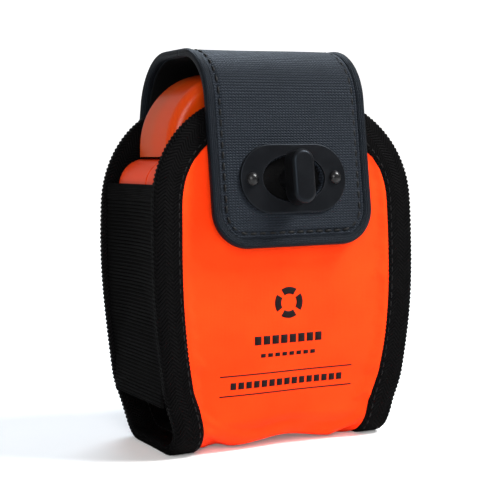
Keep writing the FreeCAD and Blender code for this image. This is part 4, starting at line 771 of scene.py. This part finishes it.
def drape_front():
    """How far simulated cloth stands out from the padded shape, over the front panel's grid."""
    s, u = grid_spans(PANEL_START, BASE_END, DRAPE_ROWS, DRAPE_COLUMNS)
    x = u * (wall_half(s) - PANEL_INSET)
    rest = add_lift(WALL.place(x, s, padded_shape(u, s)), *np.broadcast_arrays(x, s))
    mesh = bpy.data.meshes.new("drape")
    faces = grid_faces(DRAPE_ROWS, DRAPE_COLUMNS)
    mesh.from_pydata((rest.reshape(-1, 3) * DRAPE_SCALE).tolist(), [], faces)
    piece = add_object("drape", mesh)
    ends = (s < PANEL_START + DRAPE_SEWN_ENDS) | (s > BASE_END - DRAPE_SEWN_ENDS)
    sewn = (np.abs(u) > DRAPE_SEWN_SHARE) | ends
    piece.vertex_groups.new(name="sewn").add(np.flatnonzero(sewn.ravel()).tolist(), 1.0, "REPLACE")
    cloth_settings(piece)
    for frame_number in range(1, DRAPE_FRAMES + 1):
        bpy.context.scene.frame_set(frame_number)
    loose = piece.evaluated_get(bpy.context.evaluated_depsgraph_get())
    flat = np.empty(DRAPE_ROWS * DRAPE_COLUMNS * 3)
    loose.data.vertices.foreach_get("co", flat)
    moved = flat.reshape(rest.shape) / DRAPE_SCALE - rest
    bpy.context.scene.frame_set(1)
    bpy.data.objects.remove(piece)
    out = np.stack([np.interp(s, WALL.reach, WALL.normal[:, i]) for i in (0, 1)], -1)
    height = moved[..., 1] * out[..., 0] + moved[..., 2] * out[..., 1]
    return np.clip(height, *DRAPE_LIMITS)


DRAPE = drape_front()


def front_swell(u, s):
    """The padded shape with the simulated cloth's folds read off its grid."""
    u, s = np.broadcast_arrays(u, s)
    row = np.clip((s - PANEL_START) / (BASE_END - PANEL_START) * (DRAPE_ROWS - 1), 0, DRAPE_ROWS - 1.001)
    column = np.clip((u + 1) / 2 * (DRAPE_COLUMNS - 1), 0, DRAPE_COLUMNS - 1.001)
    i, j = row.astype(int), column.astype(int)
    a, b = row - i, column - j
    upper = DRAPE[i, j] * (1 - b) + DRAPE[i, j + 1] * b
    lower = DRAPE[i + 1, j] * (1 - b) + DRAPE[i + 1, j + 1] * b
    return padded_shape(u, s) + upper * (1 - a) + lower * a


def make_front_panel():
    outer, inner, coords = panel_grid(PANEL_START, BASE_END, PANEL_INSET, 230, 120, front_swell)
    for points in (outer, inner):
        add_lift(points, coords[..., 0], coords[..., 1])
    piece = shell("front_cloth", outer, inner, coords)
    on_pouch(dress(piece, "orange_cloth", "black_lining", slot="ballistic_fabric"), "front_panel")


def make_back_panel():
    last = WALL.length - PANEL_START
    outer, inner, coords = panel_grid(BASE_END - 0.2, last, PANEL_INSET, 120, 60,
                                      lambda u, s: 0.25 * (1 - u ** 2) * np.sin((s - BASE_END) / 21))
    piece = shell("back_cloth", outer, inner, coords)
    on_pouch(dress(piece, "charcoal_weave", "black_lining", slot="black_webbing"), "back_panel")


def tape_edge(side):
    """The pouch's edge in wall coordinates, from the front mouth round the base to the rear mouth."""
    angle = np.linspace(math.pi / 2, 0, 40)
    x = np.concatenate(([0], SHOULDER + ARCH * np.cos(angle)))
    z = np.concatenate(([MOUTH], ARCH_LEVEL + ARCH * np.sin(angle)))
    front = np.interp(-z, -WALL.level(WALL_FRONT), WALL_FRONT)
    arch_reach = front[-1]
    legs = np.linspace(arch_reach, WALL.length - (MOUTH - ARCH_LEVEL), 240)
    rear = WALL.length - (MOUTH - z[::-1])
    line = np.concatenate([np.stack([x, front], 1), np.stack([wall_half(legs), legs], 1)[1:-1],
                           np.stack([x[::-1], rear], 1)])
    line, _ = resample(line, 1.0)
    line = ease_corners(line, 5)
    line[:, 0] *= side
    edge, _ = resample(line, 0.3)
    return edge[::-1] if side > 0 else edge


def tape_ribs(along, a):
    """Herringbone ribs on the tape's faces that straighten round its folded edge."""
    slant = np.where(a > 4.6, 9.2 - a, a) * 0.85
    strength = 0.11 + 0.07 * (1 - smooth_step(0.5, 3.0, a))
    hem = 1 - smooth_step(7.9, 8.6, a)
    return strength * hem * np.sin(2 * math.pi * (along + slant) / 1.3)


def make_bindings():
    """Tape folded over the panels' edges, swept as a closed rounded section."""
    middle = -CLOTH / 2
    half = CLOTH / 2 + TAPE
    profile = rounded(0, TAPE_WIDTH, middle - half, middle + half + 0.15, BINDING_PROFILE_POINTS, 4.5)
    for side, label in ((-1, "left"), (1, "right")):
        edge = tape_edge(side)
        wobble = 0.12 * np.sin(np.arange(len(edge)) * 0.3 / 7.0 + side)
        edge = edge + inward(edge) * wobble[:, None]
        piece = tubes(label + "_tape", [sweep(WALL, edge, profile, tape_ribs)])
        on_pouch(dress(piece, "twill_tape", slot="twill_tape"), label + "_binding")
        line = edge + inward(edge) * (TAPE_WIDTH - BINDING_SEAM)
        for face, height in (("outer", TAPE + 0.22), ("inner", -CLOTH - TAPE - 0.02)):
            sewn = stitches(label + "_tape_stitches_" + face, WALL.place, line, height, **BINDING_STITCH)
            on_pouch(dress(sewn, "black_thread"))


def make_gussets():
    """Ribbed elastic between the bindings, drawn in a little at its middle, with a folded hem on top."""
    low, top = GUSSET_BOTTOM, GUSSET_TOP
    z = np.arange(low, top, 0.24)[:, None]
    t = np.linspace(0, 1, 22)[None, :]
    front = np.interp(z, WALL.level(WALL_FRONT)[::-1], WALL.depth(WALL_FRONT)[::-1]) + CLOTH
    back = BACK_FACE - CLOTH
    y = front + (back - front) * t
    ribs = ELASTIC_RIB * np.sin(2 * math.pi * z / ELASTIC_PITCH)
    hem = smooth_step(top - ELASTIC_HEM, top - ELASTIC_HEM_EASE, z)
    swell = ELASTIC_HEM_SWELL * hem
    ribs = ribs * (1 - 0.75 * hem)
    draw_in = ELASTIC_DRAW_IN * np.sin(math.pi * t) ** 1.2 * (0.45 + 0.55 * smooth_step(low, low + 30, z))
    slack = ELASTIC_SLACK * np.sin(z / 9 + 3 * t)
    for side, label in ((-1, "left"), (1, "right")):
        x = side_half(z) - ELASTIC_INSET - draw_in + slack * np.sin(math.pi * t) + ribs + swell
        # the elastic grips the case but stays clear of it
        inner_x = np.maximum(x - ELASTIC_THICK - ribs - swell, CASE_HALF + CASE_GAP)
        x = np.maximum(x, inner_x + ELASTIC_LEAST + ribs)
        coords, outer, inner = stacked(y, z, 0 * y), stacked(side * x, y, z), stacked(side * inner_x, y, z)
        if side > 0:
            outer, inner, coords = outer[:, ::-1], inner[:, ::-1], coords[:, ::-1]
        piece = shell(label + "_elastic", outer[:, ::-1], inner[:, ::-1], coords[:, ::-1])
        on_pouch(dress(piece, "ribbed_elastic", "black_lining", slot="ribbed_elastic"), label + "_gusset")


def make_belt_loop():
    """Webbing loop on the back, with turned ends and bar tacks."""
    half = LOOP_HIGH[0]
    near = BACK_FACE + 0.2
    core = WEBBING / 2
    low, high, far = LOOP_LOW[2], LOOP_HIGH[2], LOOP_HIGH[1] - WEBBING
    knots = np.array([[near, low], [near, low + 5], [far, low + 11],
                      [far, high - 11], [near, high - 5], [near, high]])
    line, _ = resample(knots, 0.5)
    line = ease_corners(line, 13)
    section = Section(line)
    s, u = grid_spans(0, section.length, 150, 60)
    x = u * half
    edge = np.clip((1 - np.abs(u)) / 0.05, 0, 1) ** 0.5
    cords = 0.1 * np.abs(np.sin(math.pi * x / 2.4)) * np.ones_like(s)
    outer = section.place(x, s, core + (core + cords - 0.1) * edge)
    inner = section.place(x, s, core - (core - cords * 0.5) * edge)
    piece = shell("loop_webbing", outer, inner, stacked(x, s, 0 * x), 0)
    on_pouch(dress(piece, "black_webbing", slot="black_webbing"), "belt_loop")
    for label, start in (("low", 1.2), ("high", section.length - 4.2)):
        for row in range(2):
            level = start + row * 3.0
            line = np.array([[-half + 2, level], [half - 2, level]])
            sewn = stitches("loop_tack_%s_%d" % (label, row), section.place, line, 2.0, **TACK_STITCH)
            on_pouch(dress(sewn, "black_thread"))


# ---------------- flap
def tip_half(s, inset):
    """Half width of the flap inset from its edge, with the rounded corners of its tip."""
    half = flap_half(s) - inset
    radius = FLAP_CORNER - inset
    over = np.clip(s - (TIP - inset - radius), 0, radius)
    return half - radius + np.sqrt(np.clip(radius ** 2 - over ** 2, 0, None))


def flap_edge(first, last):
    """The flap's right edge from first to last, in flap coordinates."""
    s = np.linspace(first, min(last, TIP - FLAP_CORNER), 200)
    line = np.stack([flap_half(s), s], 1)
    if last < TIP:
        return line
    angle = np.linspace(0, math.pi / 2, 40)[1:]
    centre = flap_half(TIP) - FLAP_CORNER
    x, level = centre + FLAP_CORNER * np.cos(angle), TIP - FLAP_CORNER + FLAP_CORNER * np.sin(angle)
    corner = np.stack([x, level], 1)
    return np.concatenate([line, corner])


def flap_runs(first, last):
    """Edge lines of a stretch of the flap, each travelling so that the flap lies inward of it."""
    right = flap_edge(first, last)
    left = right * [-1, 1]
    sides = [left, right[::-1]]
    lines = sides if last < TIP else [np.concatenate(sides)]
    return [resample(line, 0.6)[0] for line in lines]


def lock_eye(x, s):
    """How far a point of the flap lies inside the lock's eye: 1 inside, 0 outside."""
    low, high = corners("lock_plate")
    level = (low[2] + high[2]) / 2
    place = FLAP.where(lambda y, z: y < 0 and z < level)
    reach = np.sqrt((x / EYE_HALF_WIDTH) ** 2 + ((s - place) / EYE_HALF_HEIGHT) ** 2)
    return 1 - smooth_step(0.93, 1.0, reach)


def flap_field(name, first, last, rows, columns):
    """The flap's cloth inside its trim, with the seam's groove and the eye that the lock sits in."""
    s, u = grid_spans(first, last, rows, columns)
    x = u * tip_half(s, TRIM - 0.3)
    side = (1 - np.abs(u)) * tip_half(s, TRIM)
    end = TIP - TRIM - s if last >= TIP - TRIM - 0.5 else 99.0 + 0 * s
    border = np.clip(np.minimum(side, end) / 1.2, 0, 1)
    groove = SEAM_GROOVE * np.exp(-((np.minimum(side, end) - (SEAM - TRIM)) / SEAM_SOFTNESS) ** 2)
    puff = 0.45 * (1 - (1 - border) ** 2) - groove
    waves = 0.14 * np.sin(x / 7.5 + s / 19) * np.sin(s / 11.0 + 0.6) * border
    eye = lock_eye(x, s)
    outer = FLAP.place(x, s, (FLAP_CLOTH - 0.2 + puff + waves) * (1 - eye) + 0.35 * eye)
    inner = FLAP.place(x, s, 0.12 + 0 * x)
    marked = (eye[:-1, :-1] + eye[1:, 1:]) > 1.0
    piece = shell(name, outer, inner, stacked(x, s, 0 * x), marked=marked)
    return dress(piece, "charcoal_weave", "black_lining", slot="charcoal_fabric")


def trim_ridges(along, a):
    """A shallow valley along the rolled trim, and the faint pull of the thread."""
    valley = -0.12 * np.exp(-((a - 1.9) / 0.35) ** 2)
    return valley + 0.05 * np.sin(2 * math.pi * along / 2.9) * smooth_step(1.4, 2.5, a)


def flap_trim(name, first, last):
    profile = rounded(0, TRIM, 0.0, FLAP_CLOTH + 0.55, 26, 2.8)
    runs = [sweep(FLAP, edge, profile, trim_ridges) for edge in flap_runs(first, last)]
    return dress(tubes(name, runs), "flap_trim", slot="flap_trim")


def flap_stitching(name, first, last):
    pieces = []
    for index, edge in enumerate(flap_runs(first, last)):
        line = edge + inward(edge) * SEAM
        piece = stitches("%s_%d" % (name, index), FLAP.place, line, FLAP_CLOTH + 0.1, **FLAP_STITCH)
        pieces.append(dress(piece, "black_thread"))
    return pieces


def flap_part(label, cloth, trim, seam, grid, nodes):
    """A stretch of the flap with its trim and stitches."""
    field = flap_field(label + "_cloth", *cloth, *grid)
    edging = flap_trim(label + "_trim", *trim)
    for piece in [field, edging] + flap_stitching(label + "_stitches", *seam):
        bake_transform(piece)
    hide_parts(*nodes)
    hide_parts(nodes[0] + "_trim")


def make_flap():
    """The flap in two stretches that meet over the mouth."""
    root = FLAP.place(0, FLAP.where(lambda y, z: z > ROOT_HINGE_LEVEL), 0) * MM
    flap_part("crown", (0.0, CREASE), (0.0, CREASE), (3.0, CREASE - 0.4), (110, 80),
              ("flap_crown", "flap_anchor"))
    over = [FLAP.place(0, CREASE + run, 1.0) * MM for run in (0, CREASE_HINGE_RUN)]
    flap_part("tongue", (CREASE, TIP - TRIM + 0.2), (CREASE, TIP), (CREASE + 0.4, TIP), (190, 120),
              ("flap_tongue",))
    half = ANCHOR_HIGH[0] - 2
    for row, s in enumerate((1.2, 3.4)):
        line = np.array([[-half, s], [half, s]])
        sewn = stitches("root_stitches_%d" % row, FLAP.place, line, FLAP_CLOTH + 0.35)
        on_pouch(dress(sewn, "black_thread"))


# ---------------- print on the front
def print_patch(name, outlines):
    """Flat printed shapes that follow the front cloth. Each is a grid of x and z."""
    pieces = []
    levels, reaches = WALL.level(WALL_FRONT)[::-1], WALL_FRONT[::-1]
    for x, z in outlines:
        s = np.interp(z, levels, reaches)
        u = x / (wall_half(s) - PANEL_INSET)
        swell = front_swell(u, s)
        grids = [add_lift(WALL.place(x, s, swell + height), x, s) for height in (PRINT_PROUD, PRINT_SUNK)]
        points = np.concatenate([grid.reshape(-1, 3) for grid in grids])
        pieces.append((points, closed_faces(*x.shape, flip=True)))
    on_pouch(dress(join_pieces(name, pieces), "black_print"))


def bar(x0, x1, z0, z1):
    """A grid of x and z over a plain rectangle."""
    columns = max(3, int((x1 - x0) / 0.8))
    return np.meshgrid(np.linspace(x0, x1, columns), np.linspace(z0, z1, 4))


def blocks(centre, z, width, high, count, gap):
    """A row of plain blocks where a line of words would stand."""
    step = width / count
    lefts = [centre - width / 2 + i * step for i in range(count)]
    return [bar(left + gap / 2, left + step - gap / 2, z - high / 2, z + high / 2) for left in lefts]


def ring_segment(x, z, inner, outer, first, last):
    """A grid of x and z over part of a ring, between two angles in degrees."""
    angle, radius = np.meshgrid(np.radians(np.linspace(first, last, 14)), np.linspace(outer, inner, 4))
    return x + radius * np.cos(angle), z + radius * np.sin(angle)


PRINT_MIDDLE = -0.5
RING_LEVEL, RING_INNER, RING_OUTER, RING_GAP = 42.6, 2.5, 4.5, 12
BLOCK_ROWS = {
    # name: level, width, height, count, gap
    "upper_blocks": (32.2, 22.5, 2.5, 8, 0.7),
    "middle_blocks": (27.8, 18.5, 1.1, 8, 0.8),
    "lower_blocks": (19.6, 37.0, 2.0, 15, 0.7),
}
RULE_LEVELS, RULE_HALF_LENGTH, RULE_HALF_WIDTH = (22.6, 16.8), 21.5, 0.17


def make_print():
    """A plain ring mark, rows of blocks and two rules, in place of the printed mark and words."""
    starts = [45 + 90 * quarter for quarter in range(4)]
    print_patch("ring_mark", [ring_segment(PRINT_MIDDLE, RING_LEVEL, RING_INNER, RING_OUTER, start + RING_GAP,
                                           start + 90 - RING_GAP) for start in starts])
    for name, layout in BLOCK_ROWS.items():
        print_patch(name, blocks(PRINT_MIDDLE, *layout))
    left, right = PRINT_MIDDLE - RULE_HALF_LENGTH, PRINT_MIDDLE + RULE_HALF_LENGTH
    print_patch("rules", [bar(left, right, z - RULE_HALF_WIDTH, z + RULE_HALF_WIDTH) for z in RULE_LEVELS])


# ---------------- hard parts
NODE_LOOKS = {
    "black_metal": "keeper_plate lock_plate lock_back_plate turn_knob",
    "rivet_metal": "keeper_rivets lock_rivets",
    "bright_steel": "knob_clip case_screws battery_springs battery_contacts antenna_tape lid_pin"
                    " battery_screw",
    "orange_shell": "front_case rear_case",
    "black_rubber": "case_seal battery_door_seal button_seals",
    "green_board": "circuit_board switch_board",
    "black_plastic": "tactile_switches battery_door antenna_base",
    "ceramic": "gps_antenna", "tin_plate": "radio_shield", "cell_sleeve": "battery_cells",
    "clear_lens": "strobe_lens", "lamp_yellow": "strobe_led", "rose_clear": "lid",
    "red_button": "on_button", "grey_button": "test_button",
}
EDGE_RADIUS, EDGE_ANGLE = 0.12, 40


def finish_hard_parts():
    """Materials, smooth shading and softened edges on the CAD's own pieces."""
    looks = [(name, look) for look, names in NODE_LOOKS.items() for name in names.split()]
    for name, look in looks:
        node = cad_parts[name]
        node.data.materials.clear()
        node.data.materials.append(MATERIAL[look])
        node.data.polygons.foreach_set("use_smooth", [True] * len(node.data.polygons))
        bevel = node.modifiers.new("soft_edges", "BEVEL")
        bevel.width = EDGE_RADIUS * MM
        bevel.segments = 2
        bevel.limit_method = "ANGLE"
        bevel.angle_limit = math.radians(EDGE_ANGLE)
        bevel.harden_normals = True


# ---------------- stage
YAW, PITCH, ROLL = 0.4632, 0.0767, -0.0132
DISTANCE, LENS = 0.3841, 92.56
TARGET = Vector((-0.00254, 0, 0.05644))
BOWL_FLAT, BOWL_BEND, BOWL_SIDES = 1600.0, 900.0, 96
GLOW_START, GLOW_END, GLOW_NEAR, GLOW_FAR = 110.0, 700.0, 0.14, 0.75
SKY_COLOUR, SKY_STRENGTH = (1.0, 0.99, 0.98, 1), 0.35
LIGHT_AIM = Vector((0, 0, 0.05))
LIGHTS = {
    # name: place, size, power, colour
    "key": ((0.42, -0.3, 0.62), 0.3, 9.8, (1, 1, 1)),
    "fill": ((-0.35, -0.75, 0.4), 0.5, 4.9, (1, 1, 1)),
    "rear": ((0.15, 0.4, 0.6), 0.4, 3, (0.75, 0.87, 1)),
}


def make_camera():
    """The camera stands at a yaw and pitch about the target and is rolled a little."""
    camera = add_object("camera", bpy.data.cameras.new("camera"))
    back = Vector((-math.sin(YAW) * math.cos(PITCH), -math.cos(YAW) * math.cos(PITCH), math.sin(PITCH)))
    right = up.cross(back).normalized()
    above = back.cross(right)
    turned_right = right * math.cos(ROLL) + above * math.sin(ROLL)
    turned_above = above * math.cos(ROLL) - right * math.sin(ROLL)
    matrix = Matrix((turned_right, turned_above, back)).transposed().to_4x4()
    matrix.translation = TARGET + back * DISTANCE
    camera.matrix_world = matrix
    camera.data.lens = LENS
    camera.data.clip_start = 0.01
    bpy.context.scene.camera = camera


def soft_light(name, place, size, power, colour):
    """A round area light turned to the object."""
    data = bpy.data.lights.new(name, "AREA")
    data.shape, data.size, data.energy, data.color = "DISK", size, power, colour
    light = add_object(name, data)
    light.location = place
    light.rotation_euler = (LIGHT_AIM - Vector(place)).to_track_quat("-Z", "Y").to_euler()


def backdrop():
    """A seamless pale bowl: flat under the object and rising all round far behind it."""
    flat, bend, sides = BOWL_FLAT, BOWL_BEND, BOWL_SIDES
    angle = full_turn(sides)
    turn = np.linspace(0, math.pi / 2, 24)
    radii = np.concatenate(([60.0, 300.0, 900.0, flat], flat + bend * np.sin(turn[1:])))
    levels = np.concatenate(([0.0] * 4, bend * (1 - np.cos(turn[1:]))))
    points = np.stack([radii[:, None] * np.cos(angle), radii[:, None] * np.sin(angle),
                       levels[:, None] + 0 * angle[None]], -1)
    faces = [tuple(reversed(face)) for face in grid_faces(len(radii), sides, wrap=True)]
    faces.append(tuple(range(sides)))
    return make_mesh("floor", points.reshape(-1, 3), faces)


def make_stage():
    floor = backdrop()
    shader = Shader("pale_floor")
    away = shader.node("VectorMath", {0: shader.coords(cloth=False)}, operation="LENGTH").outputs["Value"]
    bounds = {"Value": away, 1: GLOW_START, 2: GLOW_END, 3: GLOW_NEAR, 4: GLOW_FAR}
    glow = shader.node("MapRange", bounds).outputs[0]
    seen = shader.node("LightPath").outputs["Is Camera Ray"]
    shader.link("Emission Strength", shader.times(glow, seen))
    grain = shader.noise(shader.coords(cloth=False), 0.02, 3)
    stops = [(0.3, (0.88, 0.877, 0.873)), (0.7, (0.92, 0.918, 0.915))]
    shader.link("Base Color", shader.ramp(grain, stops))
    shader.set(Emission_Color=(1, 1, 1, 1), Roughness=0.75)
    floor.data.materials.append(shader.material)
    world = bpy.data.worlds.new("world")
    world.use_nodes = True
    sky = world.node_tree.nodes["Background"]
    sky.inputs[0].default_value, sky.inputs[1].default_value = SKY_COLOUR, SKY_STRENGTH
    bpy.context.scene.world = world
    for name, settings in LIGHTS.items():
        soft_light(name, *settings)
    bpy.context.scene.view_settings.view_transform = "Standard"


def main():
    make_front_panel()
    make_back_panel()
    make_bindings()
    make_gussets()
    make_belt_loop()
    make_flap()
    make_print()
    finish_hard_parts()
    make_camera()
    make_stage()


main()
